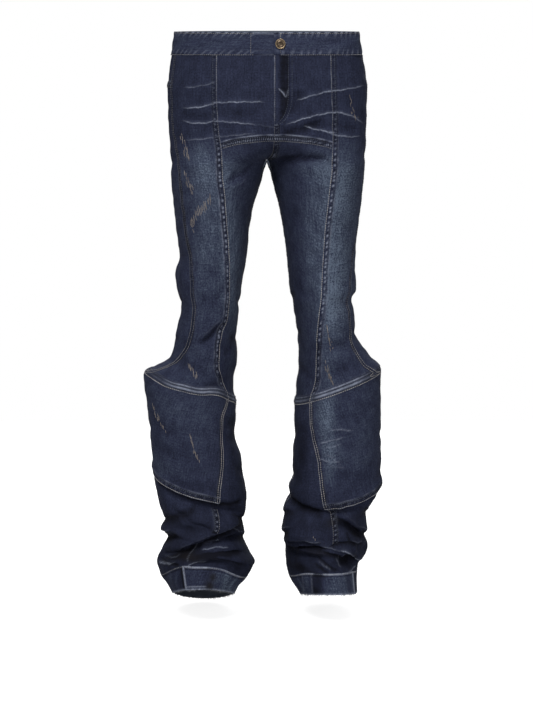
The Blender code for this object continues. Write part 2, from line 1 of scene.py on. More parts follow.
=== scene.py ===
"""Flared denim jeans in worn form, with boxed knee pieces and stacked flares, dressed over a plain frame.

Metres, +Z up, the front faces -Y and the wearer's left is +X. The sections follow the making: the worn
shape, the denim, each cut piece from the hips to the hems, the waistband and button, the sewing, the
worn threads and the studio.
"""

import math

import bpy
import numpy as np
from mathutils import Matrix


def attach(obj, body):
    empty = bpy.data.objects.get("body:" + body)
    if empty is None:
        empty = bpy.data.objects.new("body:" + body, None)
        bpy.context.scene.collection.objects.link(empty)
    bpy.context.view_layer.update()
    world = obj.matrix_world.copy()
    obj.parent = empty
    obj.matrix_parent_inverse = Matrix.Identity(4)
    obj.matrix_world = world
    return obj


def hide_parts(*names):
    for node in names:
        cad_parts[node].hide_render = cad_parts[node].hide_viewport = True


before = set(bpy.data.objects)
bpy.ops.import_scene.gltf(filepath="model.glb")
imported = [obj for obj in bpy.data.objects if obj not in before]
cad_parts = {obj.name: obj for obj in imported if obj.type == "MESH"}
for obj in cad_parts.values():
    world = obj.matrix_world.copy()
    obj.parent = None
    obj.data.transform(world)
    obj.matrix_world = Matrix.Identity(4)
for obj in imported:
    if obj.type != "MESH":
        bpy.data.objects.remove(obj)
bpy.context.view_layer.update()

# ------------
# Worn shape. Each half of the jeans is one surface of rings down the leg, rounded boxes that grow past
# the centre plane above the crotch and are cut off there. The cut pieces are blocks of it. These are the
# frame's own sizes.
# ------------

CLOTH = 0.0014
BAND_CLOTH = 0.0022
BAND_WIDTH = 0.040
BAND_PROUD = 0.0008
BAND_UNDERLAP = 0.034  # how far the band's right end runs on behind the left
KNEE_LAP = 0.011  # how far the knee piece's foot laps over the lower front
LAP_GAP = 0.0003  # air between two layers
SEAM_HALF = 0.0002  # half of the gap between two pieces at a seam
FRONT_TURN = 0.0125  # the front is twisted to the wearer's left by this
FRONT_TURN_DEPTH = 0.110
FRONT_TURN_FOOT = -0.340
FRONT_TURN_FADE = 0.160
FRONT_SPAN = 0.098
FLY_WIDTH = 0.036
FLY_RISE = 0.0011  # the fly's double layer stands this far out
FLY_EDGE = 0.12
FLY_FOOT = -0.165
FLY_FADE = 0.020
HIP_ARCH = 0.013  # the front hips' foot rises by this at the centre
HIP_ARCH_REACH = 0.045
YOKE_DROP = 0.020  # the yoke's foot hangs by this at the centre back
YOKE_DROP_TOP = -0.042
YOKE_DROP_RUN = 0.050
YOKE_DROP_FOOT = -0.190
YOKE_DROP_FADE = 0.070
FOLD_END = 0.3  # share of a fold's length over which each end fades
SLIDE_FADE = 0.35
CROTCH = -0.226
YOKE_SEAM = -0.095
HIP_SEAM = -0.197
KNEE_SEAM = -0.6095
HEM_DEPTH = 0.041
STACK_TOP = -0.770  # below this the slack of the leg lies in stacked folds
STACK_SAG = 0.45  # how far a stacked fold hangs down for each metre that it stands out
STACK_FADE = 0.03  # the hang sets in over this height


def table(columns, rows):
    """A dictionary of one array for each named column."""
    values = np.array(rows, float)
    return {name: values[:, k] for k, name in enumerate(columns.split())}


SECTION = "height inner outer front back"
RIGHT_SECTIONS = table(SECTION, [
    (0.000, -0.1560, 0.1560, 0.101, 0.104),
    (-0.040, -0.1615, 0.1615, 0.107, 0.110),
    (-0.100, -0.1600, 0.1680, 0.113, 0.120),
    (-0.150, -0.1360, 0.1672, 0.115, 0.126),
    (-0.190, -0.0850, 0.1645, 0.113, 0.123),
    (-0.210, -0.0430, 0.1635, 0.110, 0.119),
    (-0.226, 0.0000, 0.1630, 0.106, 0.114),
    (-0.260, 0.0120, 0.1620, 0.101, 0.105),
    (-0.300, 0.0245, 0.1580, 0.097, 0.096),
    (-0.350, 0.0320, 0.1525, 0.092, 0.087),
    (-0.380, 0.0345, 0.1485, 0.089, 0.080),
    (-0.422, 0.0420, 0.1555, 0.086, 0.076),
    (-0.470, 0.0480, 0.1470, 0.081, 0.069),
    (-0.520, 0.0524, 0.1570, 0.078, 0.066),
    (-0.545, 0.0510, 0.1595, 0.077, 0.067),
    (-0.575, 0.0580, 0.1655, 0.077, 0.070),
    (-0.590, 0.0575, 0.1810, 0.078, 0.073),
    (-0.600, 0.0550, 0.1970, 0.079, 0.076),
    (-0.6095, 0.0534, 0.2095, 0.081, 0.079),
    (-0.620, 0.0536, 0.2110, 0.083, 0.082),
    (-0.665, 0.0545, 0.2055, 0.087, 0.089),
    (-0.700, 0.0455, 0.2025, 0.088, 0.091),
    (-0.740, 0.0400, 0.1980, 0.089, 0.091),
    (-0.776, 0.0355, 0.1955, 0.090, 0.089),
    (-0.820, 0.0400, 0.1865, 0.093, 0.087),
    (-0.846, 0.0405, 0.1775, 0.095, 0.084),
    (-0.859, 0.0390, 0.1830, 0.097, 0.084),
    (-0.869, 0.0375, 0.1725, 0.099, 0.083),
    (-0.890, 0.0310, 0.1810, 0.103, 0.084),
    (-0.911, 0.0215, 0.1900, 0.108, 0.086),
    (-0.925, 0.0300, 0.1845, 0.112, 0.086),
    (-0.945, 0.0440, 0.1730, 0.116, 0.084),
    (-0.966, 0.0560, 0.1620, 0.119, 0.082),
])
LEFT_SECTIONS = table(SECTION, [
    (0.000, -0.1560, 0.1560, 0.101, 0.104),
    (-0.040, -0.1615, 0.1615, 0.107, 0.110),
    (-0.100, -0.1610, 0.1695, 0.113, 0.120),
    (-0.150, -0.1360, 0.1683, 0.115, 0.126),
    (-0.190, -0.0850, 0.1675, 0.113, 0.123),
    (-0.210, -0.0430, 0.1668, 0.110, 0.119),
    (-0.226, 0.0015, 0.1663, 0.106, 0.114),
    (-0.260, 0.0130, 0.1635, 0.101, 0.105),
    (-0.300, 0.0230, 0.1600, 0.097, 0.096),
    (-0.350, 0.0317, 0.1540, 0.092, 0.087),
    (-0.400, 0.0375, 0.1517, 0.088, 0.078),
    (-0.437, 0.0405, 0.1540, 0.085, 0.074),
    (-0.457, 0.0445, 0.1467, 0.082, 0.070),
    (-0.475, 0.0485, 0.1500, 0.080, 0.068),
    (-0.520, 0.0540, 0.1540, 0.078, 0.066),
    (-0.540, 0.0560, 0.1610, 0.077, 0.067),
    (-0.560, 0.0560, 0.1715, 0.077, 0.069),
    (-0.575, 0.0530, 0.1800, 0.077, 0.071),
    (-0.592, 0.0515, 0.1925, 0.079, 0.075),
    (-0.6095, 0.0490, 0.1955, 0.082, 0.079),
    (-0.665, 0.0485, 0.1970, 0.088, 0.089),
    (-0.700, 0.0460, 0.1975, 0.089, 0.091),
    (-0.740, 0.0460, 0.1978, 0.090, 0.091),
    (-0.765, 0.0395, 0.1980, 0.091, 0.090),
    (-0.784, 0.0420, 0.1975, 0.091, 0.088),
    (-0.800, 0.0320, 0.1900, 0.092, 0.087),
    (-0.820, 0.0290, 0.1780, 0.094, 0.085),
    (-0.845, 0.0286, 0.1735, 0.096, 0.084),
    (-0.868, 0.0290, 0.1725, 0.099, 0.083),
    (-0.881, 0.0335, 0.1755, 0.101, 0.083),
    (-0.902, 0.0340, 0.1690, 0.106, 0.085),
    (-0.912, 0.0345, 0.1595, 0.108, 0.086),
    (-0.925, 0.0370, 0.1565, 0.112, 0.086),
    (-0.945, 0.0460, 0.1555, 0.116, 0.084),
    (-0.965, 0.0580, 0.1560, 0.119, 0.082),
])

TIP = "height side front square"
TIPS_TO_KNEE = [
    (0.000, 0.0000, -0.004, 2.5),
    (-0.100, 0.0000, 0.000, 2.4),
    (-0.226, 0.0000, 0.000, 2.2),
    (-0.500, 0.0000, 0.000, 2.1),
    (-0.560, 0.0150, 0.000, 2.0),
    (-0.6095, 0.0275, 0.000, 2.0),
]
RIGHT_TIPS = table(TIP, TIPS_TO_KNEE + [
    (-0.700, 0.0260, -0.006, 2.2),
    (-0.776, 0.0240, -0.012, 2.2),
    (-0.925, 0.0000, 0.024, 2.2),
    (-0.966, 0.0000, 0.028, 2.3),
])
LEFT_TIPS = table(TIP, TIPS_TO_KNEE + [
    (-0.700, 0.0220, -0.008, 2.2),
    (-0.784, 0.0130, -0.019, 2.2),
    (-0.925, 0.0000, 0.016, 2.2),
    (-0.965, 0.0000, 0.018, 2.3),
])

SEAM_PLACE = "height front_seam side_seam"
RIGHT_SEAMS = table(SEAM_PLACE, [
    (0.000, 0.0930, -15), (-0.040, 0.0940, -14), (-0.100, 0.0945, -14), (-0.165, 0.0915, -15),
    (-0.200, 0.0860, -21), (-0.240, 0.0810, -31), (-0.282, 0.0720, -38), (-0.349, 0.0640, -45),
    (-0.400, 0.0620, -53), (-0.422, 0.0622, -60), (-0.450, 0.0630, -58), (-0.487, 0.0670, -58),
    (-0.508, 0.0745, -60), (-0.530, 0.0790, -55), (-0.560, 0.0800, -41), (-0.580, 0.0740, -30),
    (-0.600, 0.0670, -21), (-0.6095, 0.0655, 2), (-0.640, 0.0740, 14), (-0.665, 0.0750, 24),
    (-0.700, 0.0730, 32), (-0.776, 0.0800, 38), (-0.811, 0.0820, 38), (-0.857, 0.0900, 34),
    (-0.893, 0.1240, 30), (-0.915, 0.1400, 30), (-0.966, 0.1350, 30),
])
LEFT_SEAMS = table(SEAM_PLACE, [
    (0.000, 0.0930, -8), (-0.040, 0.0940, -6), (-0.100, 0.0950, -6), (-0.165, 0.0975, -6),
    (-0.200, 0.0970, -8), (-0.240, 0.0990, -10), (-0.290, 0.0990, -10), (-0.349, 0.0960, -14),
    (-0.370, 0.0947, -24), (-0.400, 0.0930, -31), (-0.440, 0.0915, -38), (-0.485, 0.0870, -35),
    (-0.510, 0.0850, -36), (-0.545, 0.0840, -40), (-0.575, 0.0830, -40), (-0.600, 0.0752, -27),
    (-0.6095, 0.0735, 2), (-0.640, 0.0740, 14), (-0.665, 0.0770, 24), (-0.700, 0.0850, 32),
    (-0.780, 0.0970, 38), (-0.800, 0.1080, 38), (-0.840, 0.1120, 34), (-0.873, 0.1110, 32),
    (-0.900, 0.1270, 32), (-0.925, 0.1400, 34), (-0.965, 0.1420, 34),
])

FOLD = "from_deg from_height to_deg to_height depth reach"
RIGHT_FOLDS = table(FOLD, [
    (-98, -0.238, -150, -0.228, -0.0035, 0.010),
    (-128, -0.497, -78, -0.534, -0.0045, 0.008),
    (-15, -0.400, 60, -0.410, 0.0030, 0.016),
    (10, -0.236, 160, -0.232, -0.0045, 0.012),
    (20, -0.300, 130, -0.270, -0.0030, 0.014),
    (15, -0.468, 130, -0.490, -0.0050, 0.013),
    (50, -0.530, 170, -0.515, -0.0055, 0.012),
    (20, -0.573, 120, -0.560, -0.0050, 0.010),
    (-25, -0.790, -175, -0.790, -0.0075, 0.008),
    (-30, -0.822, -165, -0.816, 0.0050, 0.016),
    (-45, -0.805, -110, -0.838, -0.0035, 0.008),
    (-5, -0.876, -60, -0.866, -0.0060, 0.008),
    (-5, -0.903, -105, -0.889, -0.0100, 0.009),
    (-85, -0.893, -174, -0.838, -0.0100, 0.009),
    (-60, -0.907, -160, -0.902, 0.0040, 0.008),
    (-70, -0.919, -160, -0.918, -0.0050, 0.006),
    (30, -0.700, 150, -0.720, -0.0045, 0.014),
    (25, -0.780, 160, -0.765, -0.0075, 0.011),
    (15, -0.835, 120, -0.812, -0.0090, 0.010),
    (70, -0.862, 175, -0.842, -0.0095, 0.010),
    (10, -0.900, 130, -0.886, -0.0090, 0.010),
])
LEFT_FOLDS = table(FOLD, [
    (-118, -0.214, -72, -0.219, -0.0045, 0.008),
    (-86, -0.176, -52, -0.152, -0.0025, 0.009),
    (-45, -0.545, -95, -0.525, -0.0030, 0.010),
    (10, -0.232, 150, -0.238, -0.0045, 0.012),
    (30, -0.262, 140, -0.300, -0.0030, 0.014),
    (10, -0.457, 120, -0.480, -0.0055, 0.011),
    (60, -0.515, 170, -0.532, -0.0055, 0.012),
    (25, -0.562, 110, -0.572, -0.0050, 0.010),
    (-20, -0.798, -172, -0.792, -0.0075, 0.008),
    (-85, -0.832, -170, -0.838, 0.0055, 0.018),
    (-84, -0.820, -16, -0.869, -0.0085, 0.008),
    (-52, -0.883, -5, -0.889, -0.0065, 0.008),
    (-178, -0.893, -80, -0.905, -0.0100, 0.009),
    (-88, -0.901, -18, -0.913, -0.0095, 0.009),
    (-150, -0.879, -70, -0.888, 0.0040, 0.008),
    (30, -0.690, 150, -0.705, -0.0045, 0.014),
    (20, -0.762, 160, -0.780, -0.0075, 0.011),
    (20, -0.812, 130, -0.838, -0.0090, 0.010),
    (80, -0.852, 175, -0.866, -0.0095, 0.010),
    (5, -0.893, 135, -0.902, -0.0090, 0.010),
])

SLIDE = "height reach side spread shift"
RIGHT_SLIDES = table(SLIDE, [
    (-0.6095, 0.035, -0.62, 0.34, 0.011),
    (-0.6095, 0.030, 0.50, 0.30, -0.004),
    (-0.9250, 0.026, -0.85, 0.40, -0.014),
    (-0.9250, 0.026, 0.95, 0.25, -0.009),
    (-0.9250, 0.020, 0.40, 0.20, 0.003),
])
LEFT_SLIDES = table(SLIDE, [
    (-0.9240, 0.026, -0.95, 0.35, -0.008),
    (-0.9240, 0.026, 0.20, 0.80, -0.004),
])

LEGS = {
    "right": {
        "mirror": -1, "sections": RIGHT_SECTIONS, "tips": RIGHT_TIPS, "seams": RIGHT_SEAMS,
        "folds": RIGHT_FOLDS, "slides": RIGHT_SLIDES, "knee_edge": -0.776, "hem": -0.966,
    },
    "left": {
        "mirror": 1, "sections": LEFT_SECTIONS, "tips": LEFT_TIPS, "seams": LEFT_SEAMS,
        "folds": LEFT_FOLDS, "slides": LEFT_SLIDES, "knee_edge": -0.784, "hem": -0.965,
    },
}


def smooth(columns, name, height):
    """Reads a column at any height: a monotone cubic through the table's rows."""
    down = -columns["height"]
    value = columns[name]
    step = np.diff(down)
    rise = np.diff(value) / step
    slope = np.zeros_like(value)
    same_way = rise[1:] * rise[:-1] > 0
    weight_a = 2 * step[1:] + step[:-1]
    weight_b = step[1:] + 2 * step[:-1]
    safe_a = np.where(same_way, rise[:-1], 1.0)
    safe_b = np.where(same_way, rise[1:], 1.0)
    mean = (weight_a + weight_b) / (weight_a / safe_a + weight_b / safe_b)
    slope[1:-1] = np.where(same_way, mean, 0.0)
    slope[0], slope[-1] = rise[0], rise[-1]
    at = np.clip(-np.asarray(height, float), down[0], down[-1])
    k = np.clip(np.searchsorted(down, at, side="right") - 1, 0, len(step) - 1)
    t = (at - down[k]) / step[k]
    t2, t3 = t * t, t * t * t
    return (
        value[k] * (2 * t3 - 3 * t2 + 1)
        + slope[k] * step[k] * (t3 - 2 * t2 + t)
        + value[k + 1] * (3 * t2 - 2 * t3)
        + slope[k + 1] * step[k] * (t3 - t2)
    )


def bell(distance):
    """1 in the middle and 0 far away: e to the power of minus the distance squared."""
    return np.exp(-distance * distance)


def ease(t):
    """0 below 0, 1 above 1 and a soft step between: 3t squared minus 2t cubed."""
    t = np.clip(t, 0.0, 1.0)
    return t * t * (3 - 2 * t)


def signed_power(value, power):
    """The value's size to a power, with its sign kept."""
    return np.sign(value) * np.abs(value) ** power


def fold_depth(folds, degrees, height):
    """Sum of all folds: each is a bell across a straight line in angle and height, faded at both ends."""
    total = np.zeros_like(degrees)
    for start, start_height, end, end_height, depth, reach in zip(*folds.values()):
        along = (degrees - start) / (end - start)
        middle = start_height + (end_height - start_height) * along
        fade = ease(along / FOLD_END) * ease((1 - along) / FOLD_END)
        total += depth * fade * bell((height - middle) / reach)
    return total


def slide(slides, cosine, sine, height):
    """Sum of all slides on the front: each is a bell in height times a bell in the cosine of the angle."""
    total = np.zeros_like(cosine)
    for level, reach, side, spread, shift in zip(*slides.values()):
        total += shift * bell((height - level) / reach) * bell((cosine - side) / spread)
    return total * ease(-sine / SLIDE_FADE)


def seam_angles(leg, height):
    """Angles of the centre front, long front seam, side seam and centre back, one row for each height."""
    inner = smooth(leg["sections"], "inner", height)
    outer = smooth(leg["sections"], "outer", height)
    square = smooth(leg["tips"], "square", height)
    middle, half = (outer + inner) / 2, (outer - inner) / 2
    cut = np.clip(middle / half, 0.0, 1.0)
    centre = np.degrees(np.arccos(-(cut ** (square / 2))))
    reach = np.clip((smooth(leg["seams"], "front_seam", height) - middle) / half, -0.97, 0.97)
    front = -np.degrees(np.arccos(signed_power(reach, square / 2)))
    side = smooth(leg["seams"], "side_seam", height)
    return np.stack([-centre, front, side, centre], axis=-1)


def front_turn(y, height):
    """How far the front is twisted to the wearer's left at a depth y and a height."""
    return FRONT_TURN * ease(-y / FRONT_TURN_DEPTH) * ease((height - FRONT_TURN_FOOT) / FRONT_TURN_FADE)


def worn_surface(leg, block, across, heights):
    """Points of one block of a half. Rows are heights, columns run from 0 to 1 across the block. A ring is
    the rounded box x = half * cos^(2/square), y = depth * sin^(2/square), tipped and folded; stacked
    folds also hang down by a share of how far they stand out."""
    corners = seam_angles(leg, heights)
    degrees = corners[:, block, None] * (1 - across) + corners[:, block + 1, None] * across
    height = np.broadcast_to(heights[:, None], degrees.shape)
    sections, tips = leg["sections"], leg["tips"]
    inner = smooth(sections, "inner", height)
    outer = smooth(sections, "outer", height)
    square = smooth(tips, "square", height)
    angle = np.radians(degrees)
    cosine, sine = np.cos(angle), np.sin(angle)
    depth = np.where(sine < 0, smooth(sections, "front", height), smooth(sections, "back", height))
    out = fold_depth(leg["folds"], degrees, height)
    sag = STACK_SAG * out * ease((STACK_TOP - height) / STACK_FADE)
    span = across if block == 0 else np.ones_like(across)
    if leg["mirror"] > 0:
        fly = ease((1 - span * FRONT_SPAN / FLY_WIDTH) / FLY_EDGE) * ease((height - FLY_FOOT) / FLY_FADE)
        out = out + FLY_RISE * fly * (height > HIP_SEAM)
    half = (outer - inner) / 2
    x = (outer + inner) / 2 + (half + out) * signed_power(cosine, 2 / square)
    y = (depth + out) * signed_power(sine, 2 / square)
    z = height + smooth(tips, "side", height) * cosine - smooth(tips, "front", height) * sine - sag
    z += HIP_ARCH * np.clip(1 - span**2, 0, 1) * bell((height - HIP_SEAM) / HIP_ARCH_REACH)
    drop = ease((YOKE_DROP_TOP - height) / YOKE_DROP_RUN) * ease((height - YOKE_DROP_FOOT) / YOKE_DROP_FADE)
    z -= YOKE_DROP * np.clip(sine, 0, 1) ** 2 * drop
    z += slide(leg["slides"], cosine, sine, height)
    x = np.maximum(x, 0.0) * leg["mirror"] + front_turn(y, height)
    return np.stack([x, y, z], axis=-1)


# ------------
# Creases. Wear sets thin whisker ridges at the hips, drag lines at the knees and sharp folds where the
# flare stacks on the shoe. Each is a curve through three places, seen from the front, the back or a side,
# in millimetres; out is its height (less than 0 is a trough), above and below are its two half widths.
# worn is how rubbed its crest is, or, less than 0, how black the painted shadow line in the tuck at its
# bottom is; troughs also get painted shade.
# ------------

CREASE = "x1 z1 x2 z2 x3 z3 out above below worn"
FRONT_CREASES = table(CREASE, [
    # whiskers over the hips
    (-143, -128, -115, -128, -78, -118, 0.6, 3.6, 2.1, 0.80),
    (-98, -121, -46, -119, 0, -119, 0.5, 3.6, 2.1, 0.72),
    (-144, -149, -121, -154, -80, -148, 0.6, 3.6, 2.1, 0.76),
    (-96, -150, -51, -153, -12, -157, 0.5, 3.6, 2.1, 0.62),
    (-20, -155, 2, -159, 20, -163, 0.3, 3, 2.1, 0.12),
    (-140, -95, -114, -93, -82, -85, 0.4, 4.2, 2.8, 0.3),
    (-140, -182, -113, -181, -80, -176, 0.45, 4.2, 2.8, 0.35),
    (-92, -178, -43, -173, -14, -170, 0.45, 3.6, 2.8, 0.3),
    (48, -117, 81, -107, 118, -98, 0.6, 4.2, 2.1, 0.65),
    (92, -103, 131, -98, 166, -91, 0.5, 3.6, 2.1, 0.65),
    (28, -158, 63, -146, 118, -135, 0.7, 4.2, 2.8, 0.78),
    (92, -139, 132, -139, 166, -157, 0.65, 4.2, 2.1, 0.78),
    (60, -158, 86, -165, 118, -171, 0.6, 3, 2.8, 0.78),
    (98, -169, 131, -176, 160, -176, 0.55, 3.6, 2.1, 0.66),
    (19, -95, 27, -104, 32, -113, 0.55, 1.8, 2.1, 0.7),
    (36, -96, 35, -104, 32, -113, 0.4, 1.8, 2.1, 0.4),
    # soft hollows over the hips and the fly
    (-140, -141, -110, -143, -84, -138, -1.3, 6, 7, 0),
    (-80, -138, -45, -138, -5, -140, -1.0, 7, 8, 0),
    (20, -174, 55, -165, 100, -148, -3.0, 6, 7, -0.30),
    (48, -94, 46, -126, 18, -150, -1.9, 9, 8, 0),
    (10, -214, 57, -211, 104, -214, -3.8, 4, 8, -0.45),
    (108, -158, 130, -160, 158, -166, -1.3, 6, 7, 0),
    # thighs
    (-70, -252, -47, -242, -24, -226, -2.6, 5, 7, 0),
    (-66, -262, -48, -256, -30, -244, 1.1, 8, 6, 0.1),
    (-150, -306, -118, -320, -84, -312, -1.1, 14, 13, 0),
    (-142, -398, -108, -410, -74, -396, -1.3, 13, 11, 0),
    (-128, -442, -100, -452, -66, -438, -1.0, 10, 9, 0),
    (98, -318, 124, -332, 150, -322, -1.1, 13, 12, 0),
    (94, -412, 118, -424, 146, -434, -1.3, 11, 10, 0),
    (40, -300, 62, -318, 90, -322, -0.8, 14, 12, 0),
    (46, -420, 62, -436, 86, -440, -0.9, 10, 9, 0),
    # above the knees
    (-72, -488, -90, -508, -114, -530, -3.0, 4, 8, 0),
    (-70, -476, -88, -494, -112, -518, 1.6, 8, 5, 0.15),
    (-54, -512, -62, -530, -72, -552, -1.4, 7, 7, 0),
    (-152, -548, -128, -566, -96, -572, -1.4, 8, 9, 0),
    (-64, -584, -84, -596, -112, -594, -1.6, 6, 7, 0),
    (96, -516, 118, -528, 142, -520, -1.4, 9, 9, 0),
    (90, -566, 112, -574, 146, -560, -1.6, 8, 8, 0),
    (56, -560, 66, -578, 82, -592, -1.5, 6, 7, 0),
    # knee pieces
    (-200, -646, -178, -668, -146, -676, -1.7, 11, 10, 0),
    (-196, -700, -160, -716, -112, -712, -1.5, 14, 12, 0),
    (-172, -752, -140, -764, -96, -770, -1.4, 8, 8, 0),
    (104, -671, 126, -670, 148, -673, 0.5, 3, 1.5, 0.45),
    (108, -676, 122, -678, 142, -680, -0.4, 2, 2, 0),
    (88, -694, 108, -689, 132, -682, 0.5, 3, 1.5, 0.60),
    (96, -701, 112, -699, 128, -693, 0.4, 3, 1.5, 0.30),
    (86, -719, 104, -724, 128, -724, 0.5, 3, 1.5, 0.50),
    (98, -710, 112, -719, 128, -733, 0.4, 3, 1.5, 0.30),
    (104, -729, 116, -733, 134, -735, 0.4, 3, 1.5, 0.25),
    (110, -644, 140, -650, 180, -634, -1.2, 12, 12, 0),
    (104, -744, 140, -752, 186, -742, -1.5, 13, 10, 0),
    (-62, -648, -56, -680, -50, -712, -1.3, 7, 7, 0),
    (58, -660, 62, -700, 60, -740, -1.3, 7, 7, 0),
    # wearer's right flare
    (-88, -797, -64, -800, -38, -797, -3.8, 3, 6, -0.9),
    (-174, -832, -145, -817, -114, -805, -3.0, 7, 8, -0.25),
    (-176, -820, -150, -805, -122, -796, 1.5, 8, 6, 0),
    (-184, -891, -112, -854, -34, -828, 4.2, 12, 2.6, 0.05),
    (-182, -902, -112, -865, -34, -839, -7.0, 2.6, 7, -1.0),
    (-112, -875, -90, -870, -62, -873, 2.2, 7, 2.0, 0.55),
    (-76, -872, -56, -868, -38, -866, 1.2, 5, 2.5, 0.0),
    (-120, -884, -73, -880, -34, -886, -4.4, 2.2, 5, -0.9),
    (-106, -886, -67, -893, -32, -908, -2.4, 2, 4, -0.6),
    (-184, -899, -168, -901, -146, -899, -3.5, 2, 3, -0.9),
    (-180, -889, -166, -892, -148, -882, 1.8, 3, 2, 0.15),
    (-188, -905, -172, -903, -154, -896, 2.0, 3, 3, 0.50),
    (-133, -896, -130, -880, -114, -865, 0.6, 2, 2, 0.30),
    (-138, -903, -127, -896, -100, -892, 1.2, 3, 2, 0.50),
    (-150, -846, -116, -838, -84, -826, -1.2, 9, 9, 0),
    # wearer's left flare
    (38, -796, 66, -805, 98, -812, -4.2, 3, 7, -0.9),
    (102, -817, 137, -836, 168, -867, -3.8, 5, 7, -0.40),
    (116, -803, 138, -818, 158, -840, 2.2, 7, 5, 0.08),
    (136, -845, 139, -853, 144, -864, -2.0, 2, 3, -0.60),
    (142, -864, 153, -871, 166, -869, -2.2, 2, 3, -0.65),
    (144, -860, 154, -866, 166, -864, 1.2, 3, 2, 0.20),
    (104, -868, 132, -863, 160, -872, -2.8, 2.2, 4, -0.75),
    (28, -868, 70, -856, 96, -863, 3.8, 11, 2.4, 0.05),
    (30, -885, 66, -873, 104, -873, -7.0, 2.6, 8, -1.0),
    (92, -877, 114, -883, 136, -894, -3.6, 2.2, 5, -0.70),
    (62, -857, 78, -856, 94, -863, 0.8, 3, 2, 0.32),
    (90, -866, 112, -871, 132, -878, 2.0, 7, 2.2, 0.25),
    (124, -875, 140, -880, 153, -895, 2.4, 4, 2.5, 0.85),
    (148, -891, 156, -898, 168, -896, 1.6, 3, 3, 0.85),
    (135, -880, 123, -890, 124, -902, 1.5, 3, 2.5, 0.14),
    (84, -883, 103, -899, 124, -910, -2.6, 2, 3, -0.70),
    (80, -895, 93, -904, 106, -911, -2.2, 2, 3, -0.60),
    (86, -891, 99, -900, 112, -909, 1.2, 2, 2, 0.22),
    (118, -888, 121, -896, 128, -906, 1.0, 2, 2, 0.18),
    (136, -917, 145, -914, 154, -908, 1.4, 3, 2, 0.55),
    (36, -842, 60, -834, 84, -840, 1.8, 9, 6, 0),
    (50, -824, 84, -836, 112, -830, -1.2, 8, 9, 0),
])
BACK_CREASES = table(CREASE, [
    (-150, -128, -100, -136, -30, -150, -1.6, 9, 10, 0),
    (146, -122, 104, -134, 36, -152, -1.5, 9, 10, 0),
    (-150, -206, -100, -222, -24, -236, -3.2, 6, 10, 0),
    (150, -202, 104, -220, 26, -240, -3.4, 6, 10, 0),
    (-146, -222, -104, -240, -40, -256, 1.4, 8, 5, 0.5),
    (146, -220, 102, -238, 42, -258, 1.4, 8, 5, 0.5),
    (-146, -262, -104, -276, -50, -272, -1.8, 8, 9, 0),
    (146, -270, 100, -284, 52, -276, -1.8, 8, 9, 0),
    (-142, -352, -100, -366, -56, -352, -1.4, 12, 12, 0),
    (142, -340, 106, -356, 58, -350, -1.4, 12, 12, 0),
    (-138, -462, -100, -478, -56, -468, -2.8, 5, 8, 0),
    (-138, -476, -104, -489, -62, -482, 1.4, 6, 4, 0.6),
    (-150, -512, -108, -520, -60, -508, -2.6, 5, 8, 0),
    (-148, -528, -110, -534, -66, -526, 1.3, 5, 4, 0.5),
    (-160, -560, -112, -566, -62, -556, -2.2, 6, 8, 0),
    (138, -456, 104, -470, 56, -462, -2.8, 5, 8, 0),
    (138, -470, 104, -484, 60, -477, 1.4, 6, 4, 0.6),
    (146, -502, 106, -516, 60, -508, -2.6, 5, 8, 0),
    (148, -520, 106, -532, 66, -525, 1.3, 5, 4, 0.5),
    (156, -552, 110, -562, 62, -552, -2.2, 6, 8, 0),
    (-186, -668, -128, -682, -62, -672, -2.4, 10, 10, 0),
    (-184, -742, -126, -756, -56, -744, -2.8, 7, 10, 0),
    (-182, -796, -122, -812, -52, -800, -4.2, 4, 9, 0),
    (-182, -786, -124, -801, -54, -790, 2.2, 8, 4, 0.3),
    (-176, -846, -120, -862, -50, -856, -4.4, 4, 9, 0),
    (-176, -836, -122, -851, -52, -846, 2.2, 8, 4, 0.4),
    (-176, -888, -116, -902, -48, -894, -3.4, 4, 7, 0),
    (182, -660, 128, -676, 60, -668, -2.4, 10, 10, 0),
    (184, -736, 126, -750, 62, -742, -2.8, 7, 10, 0),
    (178, -790, 124, -806, 54, -796, -4.2, 4, 9, 0),
    (178, -780, 124, -795, 56, -786, 2.2, 8, 4, 0.3),
    (170, -842, 118, -858, 48, -850, -4.4, 4, 9, 0),
    (170, -832, 118, -847, 50, -840, 2.2, 8, 4, 0.4),
    (166, -884, 112, -898, 46, -890, -3.4, 4, 7, 0),
])
# The outer and inner sides: the first coordinate is y, for the wearer's right leg and then the left.
LEGS["right"]["side_creases"] = table(CREASE, [
    (-60, -206, -10, -222, 60, -228, -1.6, 8, 9, 0),
    (-50, -448, 0, -462, 52, -470, -2.2, 6, 8, 0),
    (-56, -510, -6, -522, 50, -514, -2.0, 6, 8, 0),
    (-40, -660, 10, -690, 70, -704, -1.8, 12, 12, 0),
    (-76, -812, -20, -836, 60, -830, -3.2, 5, 9, 0),
    (-78, -852, -24, -866, 56, -876, -3.4, 5, 8, 0),
    (-74, -842, -22, -855, 54, -864, 1.8, 7, 4, 0.3),
    (-60, -742, 0, -750, 66, -744, -1.6, 9, 10, 0),
])
LEGS["left"]["side_creases"] = table(CREASE, [
    (-58, -198, -8, -216, 62, -226, -1.6, 8, 9, 0),
    (-50, -440, 0, -452, 54, -462, -2.2, 6, 8, 0),
    (-52, -502, -4, -512, 50, -506, -2.0, 6, 8, 0),
    (-38, -672, 14, -696, 70, -698, -1.8, 12, 12, 0),
    (-76, -806, -18, -824, 60, -834, -3.2, 5, 9, 0),
    (-74, -846, -20, -862, 58, -868, -3.4, 5, 8, 0),
    (-72, -836, -18, -850, 56, -857, 1.8, 7, 4, 0.3),
    (-58, -748, 2, -758, 66, -750, -1.6, 9, 10, 0),
])
